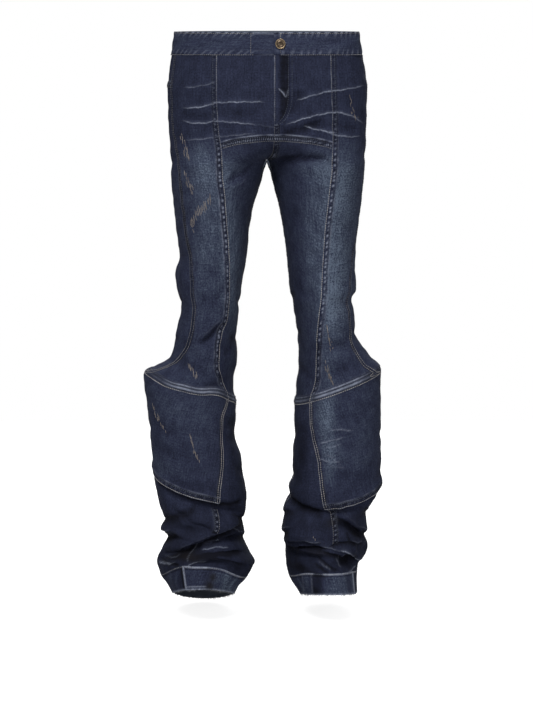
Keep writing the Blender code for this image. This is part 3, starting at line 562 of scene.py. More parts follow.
# Dents and swellings that are about as wide as high: middle, half widths and how far out, in millimetres.
BUMP = "x z wide high out"
FRONT_BUMPS = table(BUMP, [
    (137, -895, 12, 8, -8.0), (53, -907, 14, 9, -3.0), (-62, -822, 22, 15, 2.5),
    (-130, -830, 34, 14, 2.0), (62, -826, 24, 17, 3.0), (120, -850, 20, 10, 1.8),
    (-158, -906, 18, 7, 1.8), (-60, -908, 20, 6, 1.5), (45, -908, 14, 7, 1.6),
])
CREST_HALF = 0.0008  # half width of the rubbed line on a crest
TUCK_HALF = 0.0017  # half width of the black painted shadow line in a tuck
TROUGH_DARK = 0.0045  # a trough this deep gets full painted shade
TROUGH_WIDE = 6.0  # and one whose half width below is more than this, in millimetres, gets less of it
DENT_DARK = 8  # a dent this deep, in millimetres, is fully dark
CREASE_END = 0.22  # share of a crease's length over which each end fades
STACK_HANG = 0.8  # how far a stacked crease hangs down for each metre that it stands out
FACING_FADE = 0.35  # a side's creases grow from nothing to full over this part of the normal
MILLIMETRE = 0.001


def swing(place, period, turn=0.0):
    """A sine along a place: one swing for each period, moved on by a turn in radians."""
    return np.sin(2 * math.pi * place / period + turn)


def crease_relief(across, up, creases):
    """Height, wear and painted shade of a set of creases. A crease is the parabola through its three places,
    drawn over the wider of its two spans; its section is a bell with one half width above and one below. A
    tuck can hold a black painted shadow line, and troughs get painted shade."""
    relief, worn, dye_and_painted_shade = (np.zeros_like(across) for _ in range(3))
    for k, (*places, out, above, below, rubbed) in enumerate(zip(*creases.values())):
        x1, z1, x2, z2, x3, z3 = (place * MILLIMETRE for place in places)
        if abs(x3 - x1) >= abs(z3 - z1):
            run, off, (a, b, c), (d, e, f) = across, up, (x1, x2, x3), (z1, z2, z3)
        else:
            run, off, (a, b, c), (d, e, f) = up, across, (z1, z2, z3), (x1, x2, x3)
        curve = (
            d * (run - b) * (run - c) / ((a - b) * (a - c))
            + e * (run - a) * (run - c) / ((b - a) * (b - c))
            + f * (run - a) * (run - b) / ((c - a) * (c - b))
        )
        wobble = 0.5 * swing(run, 0.023, 2 * k) + 0.3 * swing(run, 0.0083, k)
        away = (off - curve + wobble * MILLIMETRE) / math.hypot(1.0, (f - d) / (c - a))
        along = (run - a) / (c - a)
        fade = ease(along / CREASE_END) * ease((1 - along) / CREASE_END)
        shape = fade * bell(away / (np.where(away > 0, above, below) * MILLIMETRE))
        relief += out * MILLIMETRE * shape
        core = bell(away / CREST_HALF) + 0.10 * bell(away / (4 * CREST_HALF)) * (away > 0)
        patchy = 0.8 + 0.2 * swing(run, 0.041, 3 * k) + 0.1 * swing(run, 0.013, k)
        worn = np.maximum(worn, rubbed * fade * patchy * core)
        # A black painted shadow line in the tuck, where worn is less than 0.
        dye_and_painted_shade = np.maximum(dye_and_painted_shade, -rubbed * np.sqrt(fade) * bell(away / TUCK_HALF))
        # Troughs get painted shade, less where they are wide below.
        if out < 0:
            dark = min(1.0, -out * MILLIMETRE / TROUGH_DARK) * min(1.0, TROUGH_WIDE / below)
            dye_and_painted_shade = np.maximum(dye_and_painted_shade, dark * shape)
    return relief, worn, dye_and_painted_shade


def spot(across, up, spots, k):
    """One row of a table of soft spots: a bell in two directions, with half widths wide and high."""
    x = (across - spots["x"][k] * MILLIMETRE) / (spots["wide"][k] * MILLIMETRE)
    z = (up - spots["z"][k] * MILLIMETRE) / (spots["high"][k] * MILLIMETRE)
    return bell(np.hypot(x, z))


def bump_relief(across, up, bumps):
    """Height and painted shade of soft dents and swellings; the dents get painted shade."""
    relief, dye_and_painted_shade = np.zeros_like(across), np.zeros_like(across)
    for k, out in enumerate(bumps["out"]):
        shape = spot(across, up, bumps, k)
        relief += out * MILLIMETRE * shape
        dye_and_painted_shade = np.maximum(dye_and_painted_shade, min(1.0, -out / DENT_DARK) * shape)
    return relief, dye_and_painted_shade


def facing(part, start=-0.10):
    """How far the cloth looks one way, from that part of its normal: 0 at the start, 1 a fade beyond it."""
    return ease((part - start) / FACING_FADE)


def all_creases(points, normal, leg):
    """Relief, wear and painted shade over a block: the front's set where it faces forward, the back's and
    side's where it faces those ways; the front's dents add painted shade."""
    x, y, z = points[..., 0], points[..., 1], points[..., 2]
    front = facing(-normal[..., 1])
    parts = [
        (front, crease_relief(x, z, FRONT_CREASES)),
        (facing(normal[..., 1]), crease_relief(x, z, BACK_CREASES)),
        (facing(np.abs(normal[..., 0]), 0.45), crease_relief(y, z, leg["side_creases"])),
    ]
    relief, worn, dye_and_painted_shade = (sum(mask * part[k] for mask, part in parts) for k in range(3))
    bumps, dark = bump_relief(x, z, FRONT_BUMPS)
    return relief + front * bumps, worn, np.maximum(dye_and_painted_shade, front * dark)


# ------------
# Denim: indigo twill, twelve ounces, stone washed. The warp is dyed and the weft is not, so it pales where
# it is rubbed; slubs in the warp make thin upright streaks, and its reverse is pale.
# ------------

# The wash from its deepest dye and painted shade to where the weft shows: place along it and colour.
WASH_COLOURS = [
    (0.00, (0.0040, 0.0042, 0.0080)),
    (0.25, (0.0115, 0.0136, 0.0280)),
    (0.45, (0.0225, 0.0268, 0.0530)),
    (0.70, (0.0470, 0.0590, 0.0920)),
    (1.00, (0.1100, 0.1400, 0.1950)),
]
INDIGO_WORN = (0.2350, 0.2600, 0.3350)
REVERSE = (0.1100, 0.1300, 0.1700)
STAIN = (0.0120, 0.0100, 0.0080)
TWILL_PITCH = 0.00065
TWILL_LEAN = 1.6  # how much steeper than 45 degrees the twill line climbs
WEAVE_DEPTH = 0.00016
# How strongly specks, upright streaks and level streaks break the dye up, and how strong its clouds are.
SPECKS, UPRIGHT_STREAKS, LEVEL_STREAKS = 2.10, 0.90, 0.56
CLOUDS = 0.36


def new_node(tree, kind, **settings):
    """A node of a kind with its settings, set down in rows of eight."""
    node = tree.nodes.new(kind)
    node.location = (len(tree.nodes) % 8 * 220, len(tree.nodes) // 8 * -320)
    for name, value in settings.items():
        setattr(node, name, value)
    return node


def new_group(name, inputs, outputs):
    """An empty shader node group with named sockets, and its input and output nodes."""
    tree = bpy.data.node_groups.new(name, "ShaderNodeTree")
    for way, sockets in (("INPUT", inputs), ("OUTPUT", outputs)):
        for label, kind in sockets:
            tree.interface.new_socket(label, in_out=way, socket_type=f"NodeSocket{kind}")
    return tree, new_node(tree, "NodeGroupInput"), new_node(tree, "NodeGroupOutput")


def new_material(name, even):
    """A material with its node tree and its shader, whose even values are given by socket."""
    material = bpy.data.materials.new(name)
    material.use_nodes = True
    shader = material.node_tree.nodes["Principled BSDF"]
    for socket, value in even.items():
        shader.inputs[socket].default_value = value
    return material, material.node_tree, shader


def feed(tree, sockets, values):
    """Gives each socket its value: a number, a colour or another socket."""
    for socket, value in zip(sockets, values):
        if isinstance(value, (int, float)):
            socket.default_value = value
        elif isinstance(value, tuple):
            socket.default_value = (*value, 1)
        else:
            tree.links.new(value, socket)


def calc(tree, operation, *values, clamp=False):
    """A Math node; each value is a number or a socket. Returns its output."""
    node = new_node(tree, "ShaderNodeMath", operation=operation, use_clamp=clamp)
    feed(tree, node.inputs, values)
    return node.outputs[0]


def blend_colour(tree, share, first, second):
    """A colour Mix node; share, first and second are numbers, colours or sockets. Returns its result."""
    node = new_node(tree, "ShaderNodeMix", data_type="RGBA")
    feed(tree, (node.inputs[0], node.inputs[6], node.inputs[7]), (share, first, second))
    return node.outputs[2]


def colour_ramp(tree, share, marks):
    """A colour ramp read at a share; marks are places and colours. Returns its colour."""
    node = new_node(tree, "ShaderNodeValToRGB")
    stops = node.color_ramp.elements
    for k, (place, colour) in enumerate(marks):
        stop = stops[k] if k < 1 else stops[-1] if k == len(marks) - 1 else stops.new(place)
        stop.position = place
        stop.color = (*colour, 1)
    tree.links.new(share, node.inputs[0])
    return node.outputs[0]


def noise(tree, vector, stretch, detail, roughness):
    """Noise of about one cycle for each 1/stretch metres along u, v. Returns a value near 0.5."""
    mapping = new_node(tree, "ShaderNodeMapping")
    mapping.inputs["Scale"].default_value = (*stretch, 1.0) if len(stretch) == 2 else stretch
    tree.links.new(vector, mapping.inputs["Vector"])
    node = new_node(tree, "ShaderNodeTexNoise", noise_dimensions="3D")
    sockets = [node.inputs[name] for name in ("Vector", "Scale", "Detail", "Roughness")]
    feed(tree, sockets, (mapping.outputs[0], 1.0, detail, roughness))
    return node.outputs["Fac"]


def bump_finish(tree, shader, height, strength, distance):
    """Feeds a height through a Bump node to the shader's normal."""
    bump = new_node(tree, "ShaderNodeBump")
    sockets = [bump.inputs[name] for name in ("Height", "Strength", "Distance")]
    feed(tree, sockets, (height, strength, distance))
    tree.links.new(bump.outputs["Normal"], shader.inputs["Normal"])


def make_twill():
    """Node group of the weave: cords along a steep diagonal, cut into yarn floats, with uneven slubs."""
    tree, start, end = new_group(
        "twill_weave", [("Vector", "Vector")], [("Cord", "Float"), ("Slub", "Float"), ("Grain", "Float")]
    )
    vector = start.outputs["Vector"]
    axes = new_node(tree, "ShaderNodeSeparateXYZ")
    tree.links.new(vector, axes.inputs[0])
    u, v = axes.outputs[0], axes.outputs[1]
    lean = calc(tree, "MULTIPLY", v, 1.0 / TWILL_LEAN)
    line = calc(tree, "ADD", u, lean)
    turns = calc(tree, "MULTIPLY", line, 2 * math.pi / TWILL_PITCH)
    cord = calc(tree, "SINE", turns)
    yarn = calc(tree, "MULTIPLY", u, 2 * math.pi / (TWILL_PITCH * 0.75))
    floats = calc(tree, "SINE", yarn)
    both = calc(tree, "MULTIPLY_ADD", floats, 0.35, cord)
    level = calc(tree, "MULTIPLY_ADD", both, 0.37, 0.5)
    slub = noise(tree, vector, (700.0, 26.0), 3.0, 0.6)
    grain = noise(tree, vector, (900.0, 620.0), 2.0, 0.7)
    feed(tree, end.inputs, (level, slub, grain))
    return tree


def make_wash():
    """Node group of the dye and its painted shade. level = (fade + tone) * (1 + specks + upright streaks +
    level streaks) + clouds - painted shade; the level picks the wash's colour, and worn crests are rubbed
    through to the weft in grains."""
    masks = ["Fade", "Worn", "Dye_and_painted_shade", "Inside", "Stain", "Cord", "Grain"]
    tree, start, end = new_group(
        "denim_wash",
        [("Vector", "Vector"), ("Tone", "Float")] + [(mask, "Float") for mask in masks],
        [("Color", "Color"), ("Roughness", "Float")],
    )
    vector = start.outputs["Vector"]
    value = {mask: start.outputs[mask] for mask in masks}
    cloud = noise(tree, vector, (50.0, 36.0), 3.0, 0.6)
    speck = noise(tree, vector, (430.0, 330.0), 3.0, 0.7)
    upright = noise(tree, vector, (380.0, 34.0), 2.0, 0.6)
    level_run = noise(tree, vector, (30.0, 420.0), 2.0, 0.6)
    even = calc(tree, "MULTIPLY_ADD", speck, SPECKS, 1.0 - (SPECKS + UPRIGHT_STREAKS + LEVEL_STREAKS) / 2)
    even = calc(tree, "MULTIPLY_ADD", upright, UPRIGHT_STREAKS, even)
    even = calc(tree, "MULTIPLY_ADD", level_run, LEVEL_STREAKS, even)
    base = calc(tree, "ADD", value["Fade"], start.outputs["Tone"])
    level = calc(tree, "MULTIPLY", base, even)
    level = calc(tree, "MULTIPLY_ADD", cloud, CLOUDS, level)
    level = calc(tree, "SUBTRACT", level, CLOUDS / 2)
    # The painted shade mask darkens the wash's level.
    shade = calc(tree, "MULTIPLY", value["Dye_and_painted_shade"], 0.42)
    level = calc(tree, "SUBTRACT", level, shade)
    dyed = colour_ramp(tree, level, WASH_COLOURS)
    chafe = noise(tree, vector, (520.0, 300.0), 2.0, 0.65)
    chafe = calc(tree, "MULTIPLY_ADD", chafe, 3.2, -0.75, clamp=True)
    rub = calc(tree, "MULTIPLY", value["Worn"], chafe)
    rub = calc(tree, "MULTIPLY", rub, 1.35, clamp=True)
    colour = blend_colour(tree, rub, dyed, INDIGO_WORN)
    weft = calc(tree, "MULTIPLY_ADD", value["Cord"], -0.5, 0.5)
    weft = calc(tree, "MULTIPLY", weft, value["Grain"])
    weft = calc(tree, "MULTIPLY", weft, 0.10)
    colour = blend_colour(tree, weft, colour, INDIGO_WORN)
    colour = blend_colour(tree, value["Inside"], colour, REVERSE)
    colour = blend_colour(tree, value["Stain"], colour, STAIN)
    rough = calc(tree, "MULTIPLY_ADD", value["Grain"], 0.16, 0.74)
    feed(tree, end.inputs, (colour, rough))
    return tree


TWILL = make_twill()
WASH = make_wash()


def denim(name, tone):
    """Denim material: the weave and the wash read the piece's own UV map, which is in metres of cloth, and
    its wear and painted shade attributes. tone is a paler (+) or deeper (-) wash."""
    material, tree, shader = new_material(name, {"Specular IOR Level": 0.04})
    uv = new_node(tree, "ShaderNodeUVMap", uv_map="cloth")
    weave = new_node(tree, "ShaderNodeGroup", node_tree=TWILL)
    wash = new_node(tree, "ShaderNodeGroup", node_tree=WASH)
    for group in (weave, wash):
        tree.links.new(uv.outputs[0], group.inputs["Vector"])
    wash.inputs["Tone"].default_value = tone
    for mask in ("Fade", "Worn", "Dye_and_painted_shade", "Inside", "Stain"):
        attribute = new_node(tree, "ShaderNodeAttribute", attribute_name=mask.lower())
        tree.links.new(attribute.outputs["Fac"], wash.inputs[mask])
    for mask in ("Cord", "Grain"):
        tree.links.new(weave.outputs[mask], wash.inputs[mask])
    tree.links.new(wash.outputs["Color"], shader.inputs["Base Color"])
    tree.links.new(wash.outputs["Roughness"], shader.inputs["Roughness"])
    height = calc(tree, "MULTIPLY_ADD", weave.outputs["Slub"], 1.3, weave.outputs["Cord"])
    height = calc(tree, "MULTIPLY_ADD", weave.outputs["Grain"], 0.8, height)
    bump_finish(tree, shader, height, 0.85, WEAVE_DEPTH)
    return material


DENIM = denim("denim_indigo", 0.0)
DENIM_FADED = denim("denim_rubbed", 0.01)

# The wash's level by height, and places where the cloth is paler (+) or darker (-): middle and half widths in
# millimetres, and how much.
WASH_LEVEL = table("height level", [
    (-1.000, 0.38), (-0.930, 0.30), (-0.900, 0.25), (-0.820, 0.28), (-0.760, 0.38), (-0.640, 0.43),
    (-0.500, 0.44), (-0.300, 0.46), (-0.210, 0.43), (-0.180, 0.36), (-0.040, 0.35), (0.000, 0.40),
])
FADE = "x z wide high amount"
FRONT_FADES_AND_SHADE = table(FADE, [
    (-104, -238, 26, 40, 0.24), (-100, -330, 20, 80, 0.20), (-72, -280, 14, 70, 0.14),
    (-62, -410, 20, 80, 0.24), (-112, -430, 18, 60, 0.10), (-112, -205, 22, 20, 0.14),
    (-62, -236, 20, 26, 0.14), (-58, -330, 14, 90, 0.14), (-52, -470, 12, 40, 0.10),
    (-136, -420, 12, 60, -0.06), (-110, -560, 26, 34, 0.04), (122, -250, 32, 60, 0.32),
    (118, -360, 32, 90, 0.28), (104, -340, 12, 70, 0.12), (84, -226, 22, 26, 0.18),
    (74, -350, 14, 100, 0.16), (44, -300, 18, 60, -0.06), (50, -440, 12, 60, -0.08),
    (112, -456, 26, 60, 0.36), (100, -440, 10, 60, 0.14), (106, -560, 16, 40, 0.16),
    (100, -640, 16, 40, 0.34), (106, -712, 14, 50, 0.32), (160, -690, 30, 80, 0.07),
    (-150, -690, 40, 70, 0.05), (54, -720, 16, 70, -0.14), (-56, -710, 14, 60, -0.08),
    (-160, -634, 30, 20, 0.08), (-110, -650, 16, 40, 0.08), (-184, -742, 20, 24, 0.12),
    # The darker spots at (-130, -886), (54, -908), (80, -908) and (-104, -883) are painted shade in the
    # stacked folds.
    (84, -848, 30, 14, 0.06), (-96, -872, 30, 10, 0.05), (-130, -886, 28, 9, -0.16),
    (54, -908, 22, 8, -0.14), (80, -908, 9, 10, -0.12), (140, -730, 40, 40, 0.07),
    (-140, -745, 50, 24, 0.05), (-104, -883, 22, 8, -0.16), (132, -830, 16, 18, 0.09),
])
BACK_FADES = table(FADE, [
    (-84, -168, 40, 44, 0.20), (86, -166, 40, 44, 0.20), (-100, -330, 26, 110, 0.18),
    (102, -330, 26, 110, 0.18), (-96, -520, 30, 40, 0.12), (96, -516, 30, 40, 0.12),
    (-122, -700, 40, 60, 0.12), (122, -690, 40, 60, 0.12), (-112, -860, 44, 40, 0.06),
    (112, -856, 44, 40, 0.06),
])


def sum_of_spots(across, up, fades):
    """Sum of the paler and darker places, each a soft spot; some of the darker ones are painted shade."""
    return sum(amount * spot(across, up, fades, k) for k, amount in enumerate(fades["amount"]))


def wash_level(points, forward):
    """The wash at each point: the level of its height, with the paler and darker places of the side it faces,
    some of them painted shade.
    """
    x, z = points[..., 0], points[..., 2]
    level = np.interp(z, WASH_LEVEL["height"], WASH_LEVEL["level"])
    return level + forward * sum_of_spots(x, z, FRONT_FADES_AND_SHADE) + (1 - forward) * sum_of_spots(x, z, BACK_FADES)


# ------------
# Seams. The pieces are joined by felled seams: one piece's edge is folded over the other's and sewn down
# by two rows. The band of layers shrinks in the wash, so it puckers like rope and its crests rub pale.
# ------------

# Of each seam: width of the band and its height; how dark it is; height and pitch of its puckers; how rubbed
# their tops are and how far in they sit; how rubbed its folded edge and the cloth just beyond it are; how
# dark the painted shade in the step down beside it is; and how far in from the folded edge its rows of
# stitches lie, those of pale thread and those of thread in the cloth's own colour, whose grooves get painted
# shade.
SEAM = "width lift dark pucker pitch dots place edge halo lip pale own"
SEAMS = {
    "long": (0.0094, 0.0010, 1.00, 0.00055, 0.0087, 1.00, 0.0056, 0.45, 0.40, 0.0, (0.0009,), (0.0072,)),
    "side": (0.0080, 0.0009, 0.80, 0.00040, 0.0060, 0.15, 0.0046, 0.30, 0.10, 0.3, (0.0011, 0.0066), ()),
    "cross": (0.0104, 0.0010, 0.60, 0.00035, 0.0036, 0.75, 0.0046, 0.30, 0.45, 0.0, (0.0011,), (0.0084,)),
    "knee": (0.0140, 0.0012, 0.50, 0.00015, 0.0120, 0.0, 0.0060, 0.6, 0.10, 0.3, (0.0010,), (0.0028, 0.0089)),
    "knee_side": (0.0064, 0.0010, 0.75, 0.0002, 0.0090, 0.05, 0.0030, 0.65, 0.15, 0.8, (0.0009, 0.0050), ()),
    "patch": (0.0088, 0.0006, 0.35, 0.00035, 0.0100, 0.15, 0.0048, 0.75, 0.25, 0.1, (0.0012,), (0.0076,)),
    "lower": (0.0086, 0.0009, 0.65, 0.00050, 0.0088, 0.75, 0.0050, 0.15, 0.20, 0.0, (0.0011,), (0.0076,)),
    "yoke": (0.0096, 0.0010, 0.50, 0.00045, 0.0088, 0.60, 0.0052, 0.20, 0.25, 0.0, (0.0012,), (0.0082,)),
    "centre": (0.0086, 0.0010, 0.90, 0.00035, 0.0060, 0.60, 0.0046, 0.25, 0.20, 0.4, (0.0012,), (0.0072,)),
    "inseam": (0.0084, 0.0009, 0.55, 0.00040, 0.0088, 0.35, 0.0046, 0.20, 0.20, 0.0, (0.0012,), (0.0070,)),
    "fly": (0.0030, 0.0007, 0.20, 0.00010, 0.0090, 0.00, 0.0016, 0.55, 0.10, 0.0, (0.0015,), ()),
    "tucked": (0.0, 0.0, 0.0, 0.00030, 0.0088, 0.0, 0.0, 0.0, 0.0, 0.0, (), ()),
}
SEAMS = {name: dict(zip(SEAM.split(), sizes)) for name, sizes in SEAMS.items()}
# How strongly the long seams' puckers are rubbed, by height.
RUBBED_HEIGHTS = (-0.95, -0.60, -0.48, -0.34, -0.22, -0.19, -0.12, 0.0)
RUBBED = (0.60, 0.45, 0.75, 1.00, 1.00, 0.40, 0.12, 0.05)
# The knee band's rubbed ridges: where they sit, their half width and how rubbed they are; how high they
# are; and how rubbed the band is, by x.
KNEE_RIDGES = [(0.0059, 0.0019, 1.00), (0.0116, 0.0015, 0.90)]
KNEE_RIDGE = 0.0007
KNEE_RUBBED_X = (0.045, 0.058, 0.072, 0.080, 0.095, 0.150, 0.162, 0.175, 0.210)
KNEE_RUBBED = (0.20, 0.50, 0.25, 0.35, 0.85, 1.00, 0.50, 0.16, 0.12)
ROUND_OFF = 0.0020  # a band's side falls to the cloth over this
GROOVE = 0.00035  # a stitch row pulls the cloth in by this,
GROOVE_HALF = 0.0009  # over this half width,
GROOVE_DARK = 0.0011  # and its painted shade reaches over this one
FINE_STEP = 0.0013  # step of a piece's grid beside its sewn edges,
SEAM_REACH = 0.0135  # this far in from them,
COARSE_STEP = 0.0031  # elsewhere,
BACK_STEP = 0.0045  # and across the backs
HEM_FADE = 0.012  # the creases stop hanging over this, above the hem band
ABOVE_ALL, BELOW_ALL = 1.0, -2.0  # heights past both ends of the jeans
random = np.random.default_rng(20)


def steps_along(length, spots, coarse=COARSE_STEP):
    """Places from 0 to length: coarse steps, and fine ones within reach of each spot (place, reach, fine).
    The count of steps passed by each place is the sum of 1/step, and the places are even in it."""
    place = np.linspace(0, length, 4001)
    step = np.full_like(place, coarse)
    for middle, reach, fine in spots:
        step = np.where(np.abs(place - middle) < reach, np.minimum(step, fine), step)
    count = np.concatenate([[0.0], np.cumsum(np.diff(place) / step[1:])])
    return np.interp(np.linspace(0, count[-1], int(math.ceil(count[-1])) + 1), count, place)


def unit(vectors):
    """The vectors drawn out or in to a length of 1."""
    return vectors / np.maximum(np.linalg.norm(vectors, axis=-1, keepdims=True), 1e-12)


def passed_along(steps, axis):
    """Running total of the lengths of steps along an axis, from 0."""
    total = np.cumsum(np.linalg.norm(steps, axis=-1), axis=axis)
    pad = [(0, 0)] * total.ndim
    pad[axis] = (1, 0)
    return np.pad(total, pad)


def arc_lengths(points, axis):
    """Length passed along an axis of a line or grid of points, from its first point, row or column."""
    return passed_along(np.diff(points, axis=axis), axis)


def seam_distance(points, axis):
    """Distance passed along an axis of a grid, square to its other axis: the steps of arc_lengths less
    their part along the rows (or columns) that they cross."""
    way = unit(np.gradient(points, axis=1 - axis))
    way = (way[1:] + way[:-1]) / 2 if axis == 0 else (way[:, 1:] + way[:, :-1]) / 2
    step = np.diff(points, axis=axis)
    return passed_along(step - (step * way).sum(axis=-1, keepdims=True) * way, axis)


def grid_normals(points, mirror, ring=False):
    """Outward unit normals: the cross product of the grid's steps down and ahead."""
    down = np.gradient(points, axis=0)
    if ring:
        ahead = np.roll(points, -1, axis=1) - np.roll(points, 1, axis=1)
    else:
        ahead = np.gradient(points, axis=1)
    return unit(np.cross(down, ahead) * mirror)


def puckers(along, inside, pitch):
    """Puckers along a seam, from -1 to 1: a slightly slanted sine whose pitch and size wander."""
    turn = 2 * math.pi * (along + 0.20 * inside) / pitch
    turn = turn + 1.3 * swing(along, 0.071) + 0.8 * swing(along, 0.0295, 1.0)
    return np.sin(turn) * (0.75 + 0.25 * swing(along, 0.053, 2.0))


def seam_relief(name, inside, along, strength):
    """Height, wear and painted shade of one sewn edge. inside is the distance in from the edge and along the
    one beside it; the band is a plateau with rounded sides, its stitch rows are grooves, the puckers ride on
    it and die away in the cloth beyond. The grooves of the own-colour rows and the step beside the band get
    painted shade."""
    seam = SEAMS[name]
    width = seam["width"]
    relief, worn, dye_and_painted_shade = (np.zeros_like(inside) for _ in range(3))
    wave = puckers(along, inside, seam["pitch"])
    wander = 0.6 + 0.4 * swing(along, 0.033, 2 * swing(along, 0.088))
    if width > 0:
        plateau = 1 - ease((inside - width) / ROUND_OFF)
        relief += seam["lift"] * plateau * (0.6 + 0.4 * ease(inside / 0.0009))
        dye_and_painted_shade = seam["dark"] * (0.25 + 0.75 * strength) * plateau * ease(inside / 0.0018)
        for row in seam["pale"] + seam["own"]:
            relief -= GROOVE * bell((inside - row) / GROOVE_HALF)
        # Painted shade in the grooves of the rows in the cloth's own colour.
        for row in seam["own"]:
            dye_and_painted_shade = np.maximum(dye_and_painted_shade, (0.35 + 0.55 * strength) * bell((inside - row) / GROOVE_DARK))
        body = bell((inside - seam["place"]) / (0.30 * width))
        relief += seam["pucker"] * wave * body
        tops = ease((wave - 0.10) / 0.6) * bell((inside - seam["place"]) / (0.16 * width))
        worn = seam["dots"] * strength * tops
        worn = np.maximum(worn, seam["edge"] * wander * bell(inside / 0.0010))
        worn = np.maximum(worn, seam["halo"] * wander * strength * bell((inside - width - 0.0012) / 0.0012))
        dye_and_painted_shade = dye_and_painted_shade * (1 - np.clip(1.4 * tops * seam["dots"] * strength, 0, 1))
        # Painted shade in the step down beside the band.
        dye_and_painted_shade = np.maximum(dye_and_painted_shade, seam["lip"] * bell((inside - width - 0.0008) / 0.0010))
    beyond = np.maximum(inside - width, 0.0)
    relief += 0.5 * seam["pucker"] * wave * np.exp(-beyond / 0.0050) * ease(beyond / 0.002)
    return relief, worn, dye_and_painted_shade


def knee_ridges(inside, along, x):
    """Height and wear of the knee band's rubbed ridges; they are palest over the middle of the knee."""
    wander = 0.8 + 0.2 * swing(along, 0.019, 2 * swing(along, 0.047))
    rubbed = np.interp(np.abs(x), KNEE_RUBBED_X, KNEE_RUBBED) * wander
    ridges = [(share, bell((inside - place) / half)) for place, half, share in KNEE_RIDGES]
    height = sum(KNEE_RIDGE * ridge for _, ridge in ridges)
    return height, rubbed * sum(share * ridge for share, ridge in ridges)


LUMPS = [
    # direction and waves a metre, height in millimetres
    (0.5, 0.3, 1.0, 26, 0.28),
    (-0.4, 0.5, 1.0, 34, 0.22),
    (0.9, 0.2, 0.6, 41, 0.16),
    (-0.8, -0.3, 0.7, 53, 0.13),
    (0.3, -0.6, 1.0, 71, 0.08),
]


def lumps(points):
    """Slight unevenness of worn cloth: a sum of bent sines over the points."""
    relief = np.zeros(points.shape[:-1])
    for a, b, c, waves, height in LUMPS:
        run = (points[..., 0] * a + points[..., 1] * b + points[..., 2] * c) * 2 * math.pi * waves
        bend = np.sin(0.43 * waves * (points[..., 2] * a - points[..., 0] * c) * 2 * math.pi + waves)
        relief += height * MILLIMETRE * np.sin(run + 1.6 * bend)
    return relief


def new_object(name, data):
    """An object of a mesh, light or camera, linked to the scene."""
    made = bpy.data.objects.new(name, data)
    bpy.context.scene.collection.objects.link(made)
    return made


def mesh_piece(name, points, loops, starts, material):
    """An object made of points, the corners of all its faces in turn and where each face starts."""
    mesh = bpy.data.meshes.new(name)
    mesh.vertices.add(points.size // 3)
    mesh.vertices.foreach_set("co", points.astype(np.float32).ravel())
    mesh.loops.add(len(loops))
    mesh.loops.foreach_set("vertex_index", loops.astype(np.int32))
    mesh.polygons.add(len(starts))
    mesh.polygons.foreach_set("loop_start", starts.astype(np.int32))
    mesh.update(calc_edges=True)
    mesh.validate()
    mesh.shade_smooth()
    mesh.materials.append(material)
    return new_object(name, mesh)


def mark_points(mesh, name, values):
    """An attribute with a number for each point."""
    mesh.attributes.new(name, "FLOAT", "POINT").data.foreach_set("value", values.astype(np.float32))


def thin_shell(name, outer, inner, masks, uv, material, ring=False):
    """A closed cloth wall between two grids of points, with its masks as attributes and its UV map."""
    rows, columns = outer.shape[:2]
    count = rows * columns
    points = np.concatenate([outer.reshape(-1, 3), inner.reshape(-1, 3)])
    index = np.arange(count).reshape(rows, columns)
    following = np.roll(index, -1, axis=1)
    last = columns if ring else columns - 1
    here, ahead = index[:, :last], following[:, :last]
    faces = np.stack([here[:-1], ahead[:-1], ahead[1:], here[1:]], axis=-1).reshape(-1, 4)
    walls = [faces, faces[:, ::-1] + count]
    edges = [(here[0], ahead[0], 1), (here[-1], ahead[-1], -1)]
    if not ring:
        edges += [(index[:-1, 0], index[1:, 0], -1), (index[:-1, -1], index[1:, -1], 1)]
    for first, second, turn in edges:
        walls.append(np.stack([first, first + count, second + count, second], axis=-1)[:, ::turn])
    faces = np.concatenate(walls)
    one = faces[len(faces) // 4]
    corner = points[one]
    outward = np.cross(corner[1] - corner[0], corner[2] - corner[1])
    if np.dot(outward, corner[0] - points[one[0] + count]) < 0:
        faces = faces[:, ::-1]
    loops = faces.ravel()
    piece = mesh_piece(name, points, loops, np.arange(0, faces.size, 4), material)
    layer = piece.data.uv_layers.new(name="cloth")
    layer.data.foreach_set("uv", np.concatenate([uv.reshape(-1, 2)] * 2)[loops].astype(np.float32).ravel())
    zero = np.zeros(count)
    for mask in ("fade", "worn", "dye_and_painted_shade", "stain"):
        mark_points(piece.data, mask, np.concatenate([masks.get(mask, zero).ravel(), zero]))
    mark_points(piece.data, "inside", np.concatenate([zero, zero + 1.0]))
    piece.data.set_sharp_from_angle(angle=math.radians(62))
    return piece


def placed_as(piece, node):
    """A piece that stands for one frame solid: that solid is hidden, and the piece rides with the body."""
    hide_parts(node)
    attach(piece, "root")


def panel_grid(leg, block, top, bottom, fine_rows=(), wide=COARSE_STEP):
    """Places across and heights of a block's grid: even in cloth length, and finer at its four edges."""
    sample = np.linspace(top, bottom, 30)
    even = np.linspace(0, 1, 61)
    arcs = arc_lengths(worn_surface(leg, block, even, sample), axis=1)
    width = arcs[:, -1].mean()
    share = (arcs / arcs[:, -1:]).mean(axis=0)
    spots = [(0.0, SEAM_REACH, FINE_STEP), (width, SEAM_REACH, FINE_STEP)]
    across = np.interp(steps_along(width, spots, wide) / width, share, even)
    span = top - bottom
    spots = [(0.0, 0.006, FINE_STEP), (span, SEAM_REACH + 0.001, FINE_STEP)]
    spots += [(top - middle, reach, fine) for middle, reach, fine in fine_rows]
    return across, top - steps_along(span, spots)


SEWN = {}
DENIMS = {"denim": DENIM, "denim_faded": DENIM_FADED}


